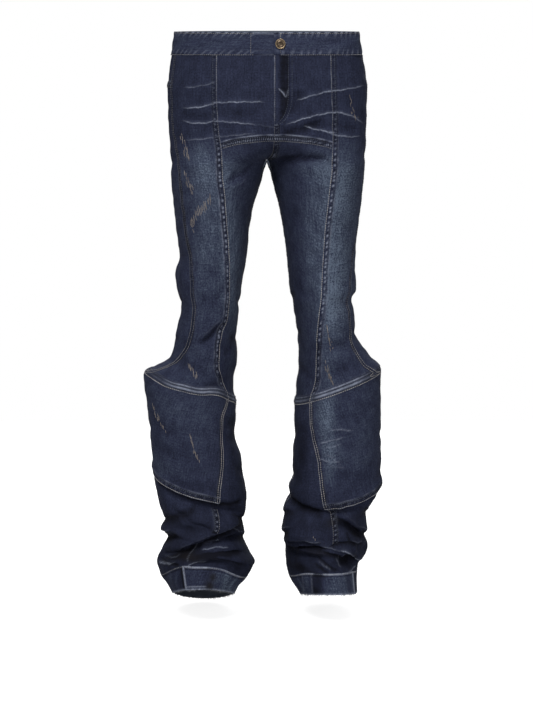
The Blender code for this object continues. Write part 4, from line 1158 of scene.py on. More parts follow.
def sewn_piece(
    node, slot, basket, leg, block, top, bottom, edges,
    proud=None, fine_rows=(), stain=None, extra=None, wide=COARSE_STEP,
):
    """One cut piece: its block of the worn shape, then the creases, then its sewn edges, each laid on the
    normals of the step before; the wall is a cloth's thickness inside. edges are (edge, seam) or (edge,
    seam, highest, lowest); their stitches go into the basket. Returns what more stitches need."""
    across, heights = panel_grid(leg, block, top, bottom, fine_rows, wide)
    plain = worn_surface(leg, block, across, heights)
    normal = grid_normals(plain, leg["mirror"])
    relief, worn, dye_and_painted_shade = all_creases(plain, normal, leg)
    relief = relief + lumps(plain)
    height = np.broadcast_to(heights[:, None], relief.shape)
    if extra is not None:
        more_relief, more_dye_and_painted_shade = extra(plain, height)
        relief, dye_and_painted_shade = relief + more_relief, np.maximum(dye_and_painted_shade, more_dye_and_painted_shade)
    if proud is not None:
        relief = relief + proud(height)
    creased = plain + normal * relief[..., None]
    settled = ease((STACK_TOP - height) / STACK_FADE) * ease((height - leg["hem"] - HEM_DEPTH) / HEM_FADE)
    creased[..., 2] -= STACK_HANG * relief * settled
    around, down = arc_lengths(creased, 1), arc_lengths(creased, 0)
    near, low = seam_distance(creased, 1), seam_distance(creased, 0)
    inside = {"start": near, "end": near[:, -1:] - near, "top": low, "foot": low[-1:] - low}
    lift = np.zeros_like(relief)
    for edge, seam, *span in edges:
        high, low = span or (ABOVE_ALL, BELOW_ALL)
        window = ((height <= high) & (height >= low)).astype(float)
        upright = edge in ("start", "end")
        along = down if upright else around
        strength = np.interp(creased[..., 2], RUBBED_HEIGHTS, RUBBED) if upright else 1.0
        more_lift, more_worn, more_dye_and_painted_shade = seam_relief(seam, inside[edge], along, strength)
        if seam == "knee":
            ridge, rubbed = knee_ridges(inside[edge], along, creased[..., 0])
            more_lift, more_worn = more_lift + ridge, np.maximum(more_worn, rubbed)
            more_dye_and_painted_shade = more_dye_and_painted_shade * (1 - np.clip(1.2 * rubbed, 0, 1))
        lift = lift + more_lift * window if seam == "tucked" else np.maximum(lift, more_lift * window)
        worn, dye_and_painted_shade = np.maximum(worn, more_worn * window), np.maximum(dye_and_painted_shade, more_dye_and_painted_shade * window)
    normal = grid_normals(creased, leg["mirror"])
    outer, inner = creased + normal * lift[..., None], creased - normal * CLOTH
    normal = grid_normals(outer, leg["mirror"])
    if top > CROTCH:
        turn = front_turn(inner[..., 1], inner[..., 2])
        limit = np.maximum((inner[..., 0] - turn) * leg["mirror"], 0.0) * leg["mirror"] + turn
        inner[..., 0] = np.where(height > CROTCH, limit, inner[..., 0])
    forward = ease((0.25 - normal[..., 1]) / 0.5)
    masks = {"fade": wash_level(outer, forward), "worn": np.clip(worn, 0, 1), "dye_and_painted_shade": np.clip(dye_and_painted_shade, 0, 1)}
    if stain is not None:
        masks["stain"] = stain(outer[..., 0], outer[..., 2]) * forward
    middle = around[:, around.shape[1] // 2][:, None]
    uv = np.stack([around - middle, -down + top], axis=-1)
    piece = thin_shell(f"{node}_cloth", outer, inner, masks, uv, DENIMS[slot])
    SEWN[node] = {"piece": piece, "outer": outer, "normal": normal, "inside": inside, "height": height}
    placed_as(piece, node)
    sew_edges(basket, SEWN[node], edges)
    return SEWN[node]


KNEE_ROWS = [(KNEE_SEAM + 0.008, 0.0100, 0.0006)]
THREADS = {"hips": [], "right": [], "left": [], "sides": [], "own": []}
STITCH = 0.0031
STITCH_GAP = 0.0007
STITCH_UNEVEN = 0.0001  # each starts up to this far off its place
TACK_PITCH = 0.00075
TACK_HALF = 0.0014  # a bar tack's half width
TACK_RISE = 0.0002


def line_inside(sewn, edge, offset, high=ABOVE_ALL, low=BELOW_ALL):
    """Points and normals of a line that runs a distance inside an edge: in each row (or column) the place
    where that distance, or that row's own distance, is reached between two columns (or rows)."""
    distance, points, normal, height = sewn["inside"][edge], sewn["outer"], sewn["normal"], sewn["height"]
    if edge in ("top", "foot"):
        distance, height = distance.T, height.T
        points, normal = points.transpose(1, 0, 2), normal.transpose(1, 0, 2)
    if edge in ("end", "foot"):
        distance, height = distance[:, ::-1], height[:, ::-1]
        points, normal = points[:, ::-1], normal[:, ::-1]
    offset = np.broadcast_to(offset, distance.shape[:1])
    k = np.clip((distance < offset[:, None]).sum(axis=1) - 1, 0, distance.shape[1] - 2)
    row = np.arange(len(k))
    near, far = distance[row, k], distance[row, k + 1]
    share = np.clip((offset - near) / np.maximum(far - near, 1e-9), 0, 1)[:, None]
    line = points[row, k] * (1 - share) + points[row, k + 1] * share
    up = normal[row, k] * (1 - share) + normal[row, k + 1] * share
    keep = (height[row, k] <= high) & (height[row, k] >= low) & (far > near)
    return line[keep], up[keep]


def read_along(place, passed, values):
    """Points or normals of a line at places along it."""
    return np.stack([np.interp(place, passed, values[:, k]) for k in range(3)], axis=-1)


def sew(basket, line, up):
    """Marks stitches along a line: start, middle and end of each, with the cloth's normal there."""
    if len(line) < 4:
        return
    passed = arc_lengths(line, 0)
    count = int(passed[-1] / (STITCH + STITCH_GAP))
    if count < 1:
        return
    start = np.arange(count) * (STITCH + STITCH_GAP) + random.uniform(-STITCH_UNEVEN, STITCH_UNEVEN, count)
    ends = [read_along(start + share * STITCH, passed, line) for share in (0.0, 0.5, 1.0)]
    THREADS[basket].append((np.stack(ends, axis=1), read_along(start + 0.5 * STITCH, passed, up)))


def sew_edges(basket, sewn, edges):
    """Sews every stitch row of a piece's edges."""
    for edge, seam, *span in edges:
        for row in SEAMS[seam]["pale"]:
            sew("sides" if seam in ("side", "centre") else basket, *line_inside(sewn, edge, row, *span))
        for row in SEAMS[seam]["own"]:
            sew("own", *line_inside(sewn, edge, row, *span))


def bar_tack(basket, sewn, row, column, length):
    """A bar of close stitches laid side by side across a seam."""
    centre, up = sewn["outer"][row, column], sewn["normal"][row, column]
    along = unit(sewn["outer"][row, column + 1] - sewn["outer"][row, column - 1])
    down = np.cross(up, along)
    places = np.arange(-length / 2, length / 2, TACK_PITCH)
    middle = centre + places[:, None] * along + up * TACK_RISE
    ends = np.stack([middle - down * TACK_HALF, middle, middle + down * TACK_HALF], axis=1)
    THREADS[basket].append((ends, np.repeat(up[None], len(places), axis=0)))


def nearest(values, value):
    """Index of the value that lies nearest."""
    return int(np.abs(values - value).argmin())


# ------------
# Front hips: two short pieces over the belly, each a single layer, with the fly's double layer on the left
# one. They are sewn to the thighs by an arched felled seam, to the side pieces by the long front seams and
# to each other by the centre seam under the fly.
# ------------

FLY_SHIELD = 0.030  # the fly's curved stitching lies this far from the centre at the top
FLY_CURVE_TOP = -0.105  # where it starts to turn in to the centre
FLY_ROWS_APART = 0.0062  # its second row lies this far inside the first
CENTRE_SEAM_TOP = FLY_FOOT + 0.002  # the fly's edge ends here, and the felled centre seam starts
FLY_TACK = 0.004  # the bar tack at its foot sits this far from the centre
FLY_TACK_LENGTH = 0.006


def fly_line(height):
    """Distance of the fly's curved row from the centre: straight down, then a quarter of an ellipse."""
    fall = np.clip((FLY_CURVE_TOP - height) / (FLY_CURVE_TOP - FLY_FOOT), 0, 1)
    return FLY_SHIELD * np.sqrt(1 - fall**2)


def fly_hollow(plain, height):
    """Relief and painted shade of the fly: two pressed rows, and painted shade in the hollow inside the
    curve.
    """
    centre = arc_lengths(plain, 1)
    to_line = centre - fly_line(height)
    above = ease((height - FLY_FOOT - 0.002) / 0.008)
    rows = bell(to_line / 0.0010) + bell((to_line + FLY_ROWS_APART) / 0.0010)
    hollow = ease((-to_line - 0.001) / 0.008) * ease((centre - 0.006) / 0.008) * above
    ripple = swing(height, 0.0135, 60 * centre) * hollow
    return -0.0003 * rows * above + 0.00045 * ripple, 0.75 * hollow + 0.3 * rows * above


WHISKER_ROWS = [(-0.136, 0.050, 0.0009)]

for side, leg in LEGS.items():
    edges = [("foot", "cross"), ("end", "tucked")]
    if side == "left":
        edges += [
            ("start", "fly", ABOVE_ALL, CENTRE_SEAM_TOP),
            ("start", "centre", CENTRE_SEAM_TOP, BELOW_ALL),
        ]
    hip = sewn_piece(
        f"front_hip_{side}", "denim", "hips", leg, 0, -BAND_WIDTH, HIP_SEAM, edges,
        fine_rows=WHISKER_ROWS, extra=fly_hollow if side == "left" else None, wide=0.0013,
    )
    if side == "left":
        rows = fly_line(hip["height"][:, 0])
        for inset in (0.0, FLY_ROWS_APART):
            line = line_inside(hip, "start", np.maximum(rows - inset, 0.002), low=FLY_FOOT + 0.0015)
            sew("own", *line)
        tack = nearest(hip["height"][:, 0], FLY_FOOT)
        bar_tack("own", hip, tack, nearest(hip["inside"]["start"][tack], FLY_TACK), FLY_TACK_LENGTH)


# ------------
# Inner fronts of the thighs: long narrow pieces between the long front seam and the inside leg, rubbed a
# little on the thigh and folded below the crotch.
# ------------

for side, leg in LEGS.items():
    edges = [("top", "tucked"), ("end", "tucked"), ("foot", "knee")]
    if side == "left":
        edges.append(("start", "centre", ABOVE_ALL, CROTCH))
    thigh = sewn_piece(
        f"front_thigh_inner_{side}", "denim_faded", side, leg, 0, HIP_SEAM, KNEE_SEAM, edges,
        fine_rows=KNEE_ROWS,
    )


# ------------
# Outer fronts: the piece between the long front seam and the side seam, waistband to knee. It widens
# sharply above the knee to reach the boxed knee piece, and carries the felled bands of both seams.
# ------------

for side, leg in LEGS.items():
    edges = [("start", "long"), ("end", "side"), ("foot", "knee")]
    outside = sewn_piece(
        f"front_thigh_outer_{side}", "denim_faded", side, leg, 1, -BAND_WIDTH, KNEE_SEAM, edges,
        fine_rows=WHISKER_ROWS + KNEE_ROWS,
    )


# ------------
# Back: a shallow shaped yoke under the waistband and one long back piece to the knee on each side. The
# centre back seam is felled right over left, and the inside leg seams are felled to the back.
# ------------

for side, leg in LEGS.items():
    over = side == "right"
    edges = [("start", "tucked"), ("foot", "yoke")]
    if over:
        edges.append(("end", "centre"))
    yoke = sewn_piece(f"back_yoke_{side}", "denim", "hips", leg, 2, -BAND_WIDTH, YOKE_SEAM, edges)

    edges = [("start", "tucked"), ("top", "tucked"), ("foot", "knee"), ("end", "inseam", CROTCH, BELOW_ALL)]
    if over:
        edges.append(("end", "centre", ABOVE_ALL, CROTCH))
    back = sewn_piece(
        f"back_thigh_{side}", "denim", side, leg, 2, YOKE_SEAM, KNEE_SEAM, edges, wide=BACK_STEP
    )


# ------------
# Knee pieces: a wide shaped patch set into each knee like the side of a box. Its foot is a free edge
# that laps over the lower front, sewn by two rows.
# ------------

KNEE_LAYER = CLOTH + LAP_GAP + 2 * SEAM_HALF
KNEE_FINE = {"right": (), "left": [(-0.703, 0.040, 0.0010)]}  # rows of the left one's sharp creases

for side, leg in LEGS.items():
    foot = leg["knee_edge"]

    def over_lower_front(height, foot=foot):
        """The foot of the knee piece stands one layer out over the lower front."""
        return KNEE_LAYER * ease((foot + KNEE_LAP + 0.010 - height) / 0.012)

    edges = [("start", "knee_side"), ("end", "side"), ("foot", "patch"), ("top", "tucked")]
    knee = sewn_piece(
        f"knee_panel_{side}", "denim_faded", side, leg, 1, KNEE_SEAM, foot, edges,
        proud=over_lower_front, fine_rows=KNEE_FINE[side],
    )


# ------------
# Flares: lower inner fronts, lower outer fronts under the knee pieces, and lower backs. The leg is longer
# than the wearer's, so the cloth stacks on the shoe in deep folds.
# ------------

# The front seam's rows come out from under the knee piece and go out of sight under the lowest fold here.
LOWER_SEAM_TOPS = {"right": -0.790, "left": -0.786}
LOWER_SEAM_ENDS = {"right": -0.838, "left": -0.866}
# How deep the tuck under the knee piece's free edge is, and how strong its painted shadow, by x.
TUCK_X = {"right": (-0.195, -0.178, -0.125, -0.085), "left": (0.100, 0.150, 0.172, 0.195)}
TUCK_DEPTH = {"right": (0.7, 1.0, 1.0, 0.6), "left": (0.20, 0.35, 0.9, 1.0)}
TUCK = 0.0034  # its depth in metres
# Brown dark places in the folds, laid on the stain mask: middle and half widths in millimetres, and how much.
BROWN_FOLD_SPOTS = table(FADE, [(-132, -886, 18, 9, 0.45), (111, -829, 10, 9, 0.45), (84, -880, 16, 4, 0.35)])
# Steps down and across the grids of the inner front, the outer front and the back.
LOWER_STEPS = [(0.0013, 0.0020), (0.0013, 0.0020), (0.0017, BACK_STEP)]


def brown_in_folds(x, z):
    """Brown darkening in the folds."""
    return sum_of_spots(x, z, BROWN_FOLD_SPOTS)


for side, leg in LEGS.items():

    def tucked_under(plain, height, side=side, foot=leg["knee_edge"]):
        """Relief and painted shadow of the tuck: a bell just below the knee piece's foot."""
        share = np.interp(plain[..., 0], TUCK_X[side], TUCK_DEPTH[side]) * ease(-plain[..., 1] / 0.03)
        dip = share * bell((foot - height - 0.003) / 0.0055)
        return -TUCK * dip, dip

    hem_top = leg["hem"] + HEM_DEPTH
    stack = ((leg["knee_edge"] + hem_top) / 2 - 0.01, 0.070)
    lap_top = leg["knee_edge"] + KNEE_LAP
    inner = [("end", "tucked"), ("top", "tucked")]
    outer = [("start", "lower", LOWER_SEAM_TOPS[side], LOWER_SEAM_ENDS[side]), ("end", "side")]
    behind = [("start", "tucked"), ("top", "tucked"), ("end", "inseam")]
    pieces = [
        ("front_lower_inner", KNEE_SEAM, inner, (0.195, 0.325), 0.0325),
        ("front_lower_outer", lap_top, outer, (0.235, 0.215), 0.0340),
        ("back_lower", KNEE_SEAM, behind, (0.255, 0.400), 0.0700),
    ]
    for block, ((name, top, edges, flat, area), (down, wide)) in enumerate(zip(pieces, LOWER_STEPS)):
        lower = sewn_piece(
            f"{name}_{side}", "denim", side, leg, block, top, hem_top, edges,
            fine_rows=[(*stack, down)], stain=brown_in_folds, extra=tucked_under if block == 1 else None, wide=wide,
        )


# ------------
# Hem bands: a folded band at the foot of each leg, rubbed pale along its top fold and frayed to loose
# weft along its foot.
# ------------

HEM_CLOTH = 0.0021  # the wall of its folded layers
HEM_PROUD = 0.0009  # and how far it stands out over the leg
HEM_ROW = 0.0022  # its one row of stitches lies this far below its top
HEM_EDGE_REACH = 0.006  # its grid is fine this far in from its top and foot
HEM_STEPS = (0.0009, 0.0018, 0.0025)  # down it there and elsewhere, and round it
HEM_STAINS = table("x z wide high", [(-96, -933, 8, 11), (-91, -918, 6, 8), (96, -952, 5, 3)])
# The joins in each hem: x at its top and foot, and how pale its line is.
HEM_JOINS = {
    "right": [(-0.1415, -0.1360, 1.0)],
    "left": [(0.1470, 0.1510, 0.9), (0.0750, 0.0780, 0.20), (0.0600, 0.0650, 0.12)],
}
# Vertical bands of paler (+) or deeper (-) wash on the front of each hem: middle x, half width, amount.
HEM_BANDS = {
    "right": [(-0.120, 0.016, 0.02), (-0.142, 0.012, -0.16), (-0.098, 0.007, -0.14), (-0.064, 0.014, 0.28)],
    "left": [(0.087, 0.011, -0.42), (0.118, 0.018, 0.20), (0.066, 0.006, 0.10), (0.154, 0.005, -0.10)],
}
# How rubbed the top fold is along the front: x, and how much.
HEM_TOPS = {
    "right": (
        (-0.172, -0.150, -0.142, -0.137, -0.102, -0.094, -0.078, -0.068, -0.050, -0.040),
        (0.15, 0.12, 0.30, 1.00, 1.00, 0.40, 0.35, 0.80, 0.80, 0.30),
    ),
    "left": (
        (0.045, 0.056, 0.060, 0.077, 0.081, 0.094, 0.099, 0.144, 0.150, 0.160),
        (0.25, 0.35, 0.70, 0.70, 0.08, 0.10, 1.00, 1.00, 0.50, 0.30),
    ),
}
# Between these x dye has run over the row of stitches, and the right foot is chafed in a line.
HEM_DYED = {"right": (-0.100, -0.094), "left": (0.079, 0.096)}
HEM_CHAFED = (-0.138, -0.100)
FRAY_LINES = {}

for side, leg in LEGS.items():
    hem_top = leg["hem"] + HEM_DEPTH
    fine, coarse, wide = HEM_STEPS
    spots = [(0.0, HEM_EDGE_REACH, fine), (HEM_DEPTH, HEM_EDGE_REACH, fine)]
    heights = hem_top - steps_along(HEM_DEPTH, spots, coarse)
    blocks = []
    for block in range(3):
        across, _ = panel_grid(leg, block, hem_top, leg["hem"], wide=wide)
        blocks.append(worn_surface(leg, block, across, heights)[:, :-1])
    plain = np.concatenate(blocks, axis=1)
    normal = grid_normals(plain, leg["mirror"], ring=True)
    around, down = arc_lengths(plain, 1), arc_lengths(plain, 0)
    to_foot, share = down[-1:] - down, down / HEM_DEPTH
    front = facing(-normal[..., 1])
    ripple = 0.0007 * swing(around, 0.031, 3 * swing(around, 0.083))
    drag = bell((around / 0.019 + 12 * down) % 3.0 - 1.5) * 0.0006
    for top_x, foot_x, pale in HEM_JOINS[side]:
        off = (plain[..., 0] - top_x * (1 - share) - foot_x * share) * leg["mirror"]
        ridge = bell((off + 0.003) / 0.004) - 1.3 * bell((off - 0.0035) / 0.0022)
        ripple = ripple + pale * front * 0.0009 * ridge
    relief = HEM_PROUD + ripple * (0.4 + 0.6 * down / HEM_DEPTH) - drag
    relief -= GROOVE * bell((down - HEM_ROW) / GROOVE_HALF)
    wave = puckers(around, down, 0.0105)
    relief += 0.0004 * wave * (bell((down - 0.004) / 0.005) + bell(to_foot / 0.006))
    patchy = ease(swing(around, 0.117, 1.0) + swing(around, 0.067) + 0.9)
    rubbed = front * np.interp(plain[..., 0], *HEM_TOPS[side]) + (1 - front) * (0.45 + 0.55 * patchy)
    worn = np.maximum(bell((down - 0.0013) / 0.0017) * rubbed, bell(to_foot / 0.0022) * (0.75 + 0.25 * wave))
    # Painted shade in the stitch groove, and a painted shadow line just under the top fold.
    dye_and_painted_shade = np.maximum(0.5 * bell((down - HEM_ROW) / GROOVE_DARK), 0.9 * bell((down - 0.0048) / 0.0011))
    if side == "right":
        span = ease((plain[..., 0] - HEM_CHAFED[0]) / 0.004) * ease((HEM_CHAFED[1] - plain[..., 0]) / 0.004)
        worn = np.maximum(worn, 0.6 * front * span * bell((to_foot - 0.0052) / 0.0009))
    outer = plain + normal * relief[..., None]
    outer[-1, :, 2] += 0.0006 * swing(around[-1], 0.009) * swing(around[-1], 0.037)
    inner = plain - normal * HEM_CLOTH
    normal = grid_normals(outer, leg["mirror"], ring=True)
    stains = [spot(outer[..., 0], outer[..., 2], HEM_STAINS, k) for k in range(len(HEM_STAINS["x"]))]
    upright = 0.5 + 0.5 * swing(around, 0.033, 2 * swing(around, 0.101))
    fade = 0.42 + 0.12 * upright * ease(down / 0.006)
    for middle, half, amount in HEM_BANDS[side]:
        fade += amount * front * bell((outer[..., 0] - middle) / half)
    for top_x, foot_x, pale in HEM_JOINS[side]:
        off = (outer[..., 0] - top_x * (1 - share) - foot_x * share) * leg["mirror"]
        worn = np.maximum(worn, pale * front * bell(off / 0.0013))
        # A painted shadow beside each join.
        dye_and_painted_shade = np.maximum(dye_and_painted_shade, pale * front * bell((off - 0.0030) / 0.0018))
    stain = 0.8 * np.max(stains, axis=0) * front
    masks = {"fade": fade, "worn": np.clip(worn, 0, 1), "dye_and_painted_shade": dye_and_painted_shade, "stain": stain}
    uv = np.stack([around, -down], axis=-1)
    hem = thin_shell(f"hem_band_{side}_cloth", outer, inner, masks, uv, DENIM_FADED, ring=True)
    placed_as(hem, f"hem_band_{side}")
    points, normals = (np.concatenate([grid, grid[:, :1]], axis=1) for grid in (outer, normal))
    k = nearest(down[:, 0], HEM_ROW)
    x, y = points[k, :, 0], points[k, :, 1]
    dyed = np.flatnonzero((y < 0) & (x > HEM_DYED[side][0]) & (x < HEM_DYED[side][1]))
    first, last = dyed[0], dyed[-1] + 1
    sew(side, points[k, : first + 1], normals[k, : first + 1])
    sew("own", points[k, first:last], normals[k, first:last])
    sew(side, points[k, last - 1 :], normals[k, last - 1 :])
    FRAY_LINES[side] = (points[-1], normals[-1])


# ------------
# Waistband and button: a straight double band, sewn along both edges, whose left end laps over the right and
# closes with a shank button.
# ------------

BAND_BACK_END = 262  # degrees round to where the band meets the underlap,
BAND_TUCK = 255  # and to where it steps in behind
BAND_ROWS_SEWN = (0.0022, 0.0375)  # its rows of stitches, below its top edge
BAND_COLUMNS, UNDER_COLUMNS = 350, 14  # of its grid, round it and along the underlap
BUTTON_RADIUS = 0.0085
BUTTON_RISE = 0.0030
BUTTON_SAG = 0.0011
BUTTON_SIDE_WAY = 0.0105  # from the front edge to the button's middle
BUTTON_SIDES = 64


def band_points(turn, depth, inset):
    """Waistband points. turn is the way round in degrees, 0 at the wearer's left and -90 at the front edge;
    depth is 0 at the top edge and 1 at the seam; inset moves them in from the outer face."""
    sections, tips = LEFT_SECTIONS, LEFT_TIPS
    height = -BAND_WIDTH * depth
    square = smooth(tips, "square", height)
    angle = np.radians(turn)
    cosine, sine = np.cos(angle), np.sin(angle)
    reach = np.where(sine < 0, smooth(sections, "front", height), smooth(sections, "back", height))
    x = (smooth(sections, "outer", height) + BAND_PROUD - inset) * signed_power(cosine, 2 / square)
    y = (reach + BAND_PROUD - inset) * signed_power(sine, 2 / square)
    z = height - smooth(tips, "front", height) * sine
    x = x + FRONT_TURN * ease(-y / FRONT_TURN_DEPTH)
    return np.stack([x, y, z], axis=-1)


def band_turn(distance):
    """Degrees round the waistband from the front edge to a place that far beside it."""
    share = distance / LEFT_SECTIONS["outer"][0]
    return math.degrees(math.asin(share ** (LEFT_TIPS["square"][0] / 2)))


under = np.linspace(270, 270 + band_turn(BAND_UNDERLAP), UNDER_COLUMNS)
turns = np.concatenate([np.linspace(-90, BAND_BACK_END, BAND_COLUMNS), under])
behind = np.where(turns > BAND_TUCK, BAND_CLOTH + LAP_GAP, 0.0)
spots = [(row, 0.004, 0.0008) for row in BAND_ROWS_SEWN]
turn, depth = np.meshgrid(turns, steps_along(BAND_WIDTH, spots, 0.0026) / BAND_WIDTH)
inset = np.broadcast_to(behind, turn.shape)
plain = band_points(turn, depth, inset)
normal = grid_normals(plain, 1)
around, down = arc_lengths(plain, 1), arc_lengths(plain, 0)
wave = swing(around + 0.3 * down, 0.0125, 1.5 * swing(around, 0.061))
rows_sewn = sum(bell((down - row) / 0.0010) for row in BAND_ROWS_SEWN)
edges_near = bell((down - 0.004) / 0.004) + bell((down - BAND_WIDTH + 0.005) / 0.005)
relief = -0.0003 * rows_sewn + 0.00035 * wave * edges_near
relief += 0.0005 * swing(around, 0.087, 9 * down / BAND_WIDTH) * ease(down / 0.01)
outer = plain + normal * relief[..., None]
inner = band_points(turn, depth, inset + BAND_CLOTH)
worn = 0.7 * bell(down / 0.0014) * ease((wave + 0.7) / 1.2) + 0.20 * ease((wave - 0.3) / 0.6) * edges_near
fade = 0.42 + 0.06 * bell((down - 0.5 * BAND_WIDTH) / 0.016)
# The stitch grooves get painted shade.
masks = {"fade": fade, "worn": np.clip(worn, 0, 1), "dye_and_painted_shade": 0.5 * rows_sewn}
uv = np.stack([down, around], axis=-1)
band = thin_shell("waistband_cloth", outer, inner, masks, uv, DENIM)
placed_as(band, "waistband")
normal = grid_normals(outer, 1)
for row in BAND_ROWS_SEWN:
    k = nearest(down[:, 0], row)
    sew("hips", outer[k, 2:-UNDER_COLUMNS], normal[k, 2:-UNDER_COLUMNS])
for column in (2, BAND_COLUMNS - 3):
    sew("hips", outer[2:-2, column], normal[2:-2, column])

BRASS_WORN = (0.36, 0.27, 0.17)
BRASS_DARK = (0.06, 0.045, 0.035)


def aged_brass(name):
    """Antiqued brass: dark in its hollows and rubbed bright on its raised rim."""
    material, tree, shader = new_material(name, {"Metallic": 1.0})
    place = new_node(tree, "ShaderNodeTexCoord")
    spots = noise(tree, place.outputs["Object"], (900.0,) * 3, 3.0, 0.6)
    rim = new_node(tree, "ShaderNodeAttribute", attribute_name="rubbed")
    share = calc(tree, "MULTIPLY_ADD", spots, 0.6, -0.18)
    share = calc(tree, "ADD", share, rim.outputs["Fac"], clamp=True)
    tree.links.new(blend_colour(tree, share, BRASS_DARK, BRASS_WORN), shader.inputs["Base Color"])
    rough = calc(tree, "MULTIPLY_ADD", spots, 0.35, 0.22)
    tree.links.new(rough, shader.inputs["Roughness"])
    bump_finish(tree, shader, spots, 0.4, 0.0001)
    return material


# The cap's profile from the middle of its face out to the rim, round it and in to the shank: radius and
# distance out from the cloth, as shares of the button's radius and rise.
BUTTON_PROFILE = np.array([
    (0.001, 0.80), (0.20, 0.82), (0.44, 0.86), (0.50, 0.94), (0.56, 0.86), (0.72, 0.80), (0.80, 0.92),
    (0.88, 1.00), (0.95, 0.97), (1.00, 0.80), (0.97, 0.62), (0.86, 0.52), (0.42, 0.46), (0.34, 0.36),
    (0.34, 0.02), (0.001, 0.00),
])

turn = band_turn(BUTTON_SIDE_WAY) - 90
here, beside = band_points(np.array([turn, turn + 1.0]), np.full(2, 0.5), np.zeros(2))
along = unit(np.append(beside[:2] - here[:2], 0.0))
out = np.array([along[1], -along[0], 0.0])
circle = np.linspace(0, 2 * math.pi, BUTTON_SIDES, endpoint=False)
radius = (BUTTON_PROFILE[:, 0] * BUTTON_RADIUS)[:, None, None]
rise = (BUTTON_PROFILE[:, 1] * (BUTTON_RISE + LAP_GAP + BUTTON_SAG))[:, None, None]
spokes = np.cos(circle)[None, :, None] * along + np.sin(circle)[None, :, None] * np.array([0.0, 0.0, 1.0])
points = here + radius * spokes + rise * out
index = np.arange(points.shape[0] * BUTTON_SIDES).reshape(points.shape[:2])
beyond = np.roll(index, -1, axis=1)
faces = np.stack([index[:-1], index[1:], beyond[1:], beyond[:-1]], axis=-1)
loops = np.concatenate([faces.ravel(), index[0], index[-1, ::-1]])
starts = np.append(np.arange(0, faces.size, 4), [faces.size, faces.size + BUTTON_SIDES])
button = mesh_piece("shank_button", points, loops, starts, aged_brass("aged_brass"))
rim = bell((BUTTON_PROFILE[:, 0] - 0.90) / 0.09) * (BUTTON_PROFILE[:, 1] > 0.6)
mark_points(button.data, "rubbed", np.repeat(rim, BUTTON_SIDES))
button.data.set_sharp_from_angle(angle=math.radians(40))
placed_as(button, "waist_button")


# ------------
# Sewing: every stitch is a short piece of beige cotton-wrapped thread that rises from the cloth, lies on
# it and dives in again.
# ------------

THREAD_RADIUS = 0.00043
THREAD_SIDES = 4
THREAD_BEIGE = (0.620, 0.590, 0.550)
THREAD_DIM = (0.230, 0.220, 0.230)
THREAD_BLUE = (0.080, 0.092, 0.130)
THREAD_DYED = (0.022, 0.025, 0.040)
THREAD_GREY = (0.040, 0.044, 0.062)
# How much of its colour the thread shows, by metres below the waistband's top: it is greyed on the hips, in
# the stacked folds and down the sides.
SEAM_SHOWING = [
    (0.0, 0.45), (0.06, 0.35), (0.09, 0.14), (0.18, 0.18), (0.24, 0.90),
    (0.78, 0.95), (0.81, 0.35), (0.90, 0.30), (0.92, 0.55),
]
SIDE_SHOWING = [
    (0.0, 0.10), (0.40, 0.12), (0.50, 0.30), (0.57, 0.70), (0.66, 0.60), (0.74, 0.40), (0.82, 0.15),
]


def cotton(name, pale, dark, showing=()):
    """Cotton thread: pale and dark by turns where the wash has taken its colour, with a fine twist. showing
    is how much of that colour shows, by metres below the origin."""
    material, tree, shader = new_material(name, {"Roughness": 0.8, "Specular IOR Level": 0.25})
    place = new_node(tree, "ShaderNodeTexCoord")
    cloud = noise(tree, place.outputs["Object"], (42.0,) * 3, 2.0, 0.5)
    fuzz = noise(tree, place.outputs["Object"], (2600.0,) * 3, 1.0, 0.5)
    share = calc(tree, "MULTIPLY_ADD", cloud, 2.6, -0.95)
    share = calc(tree, "MULTIPLY_ADD", fuzz, 0.5, share, clamp=True)
    colour = blend_colour(tree, share, dark, pale)
    if showing:
        axes = new_node(tree, "ShaderNodeSeparateXYZ")
        tree.links.new(place.outputs["Object"], axes.inputs[0])
        below = calc(tree, "MULTIPLY", axes.outputs[2], -1.0)
        left = colour_ramp(tree, below, [(depth, (kept,) * 3) for depth, kept in showing])
        colour = blend_colour(tree, left, THREAD_GREY, colour)
    tree.links.new(colour, shader.inputs["Base Color"])
    bump_finish(tree, shader, fuzz, 0.5, 0.0001)
    return material


SEWING_THREAD = cotton("sewing_thread", THREAD_BEIGE, THREAD_DIM, SEAM_SHOWING)
GREYED_THREAD = cotton("greyed_thread", THREAD_BEIGE, THREAD_DIM, SIDE_SHOWING)
DYED_THREAD = cotton("dyed_thread", THREAD_BLUE, THREAD_DYED)
COTTONS = {"own": DYED_THREAD, "sides": GREYED_THREAD}


def thread_piece(name, rings, material):
    """Closed tubes from an array of rings (tube, ring, side, xyz): quads between the rings and a cap at each
    end. They ride with the body."""
    tubes, count, sides = rings.shape[:3]
    index = np.arange(tubes * count * sides).reshape(tubes, count, sides)
    beyond = np.roll(index, -1, axis=2)
    walls = np.stack([index[:, :-1], beyond[:, :-1], beyond[:, 1:], index[:, 1:]], axis=-1).reshape(-1, 4)
    caps = np.concatenate([index[:, 0, ::-1], index[:, -1]])
    loops = np.concatenate([walls.ravel(), caps.ravel()])
    starts = np.concatenate([np.arange(len(walls)) * 4, walls.size + np.arange(len(caps)) * sides])
    thread = mesh_piece(name, rings, loops, starts, material)
    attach(thread, "root")


def spokes_round(across, lift, sides):
    """Directions round each thread: cosine and sine of even turns along its two cross directions."""
    turn = 2 * math.pi * np.arange(sides) / sides
    return across[:, None] * np.cos(turn)[None, :, None] + lift[:, None] * np.sin(turn)[None, :, None]


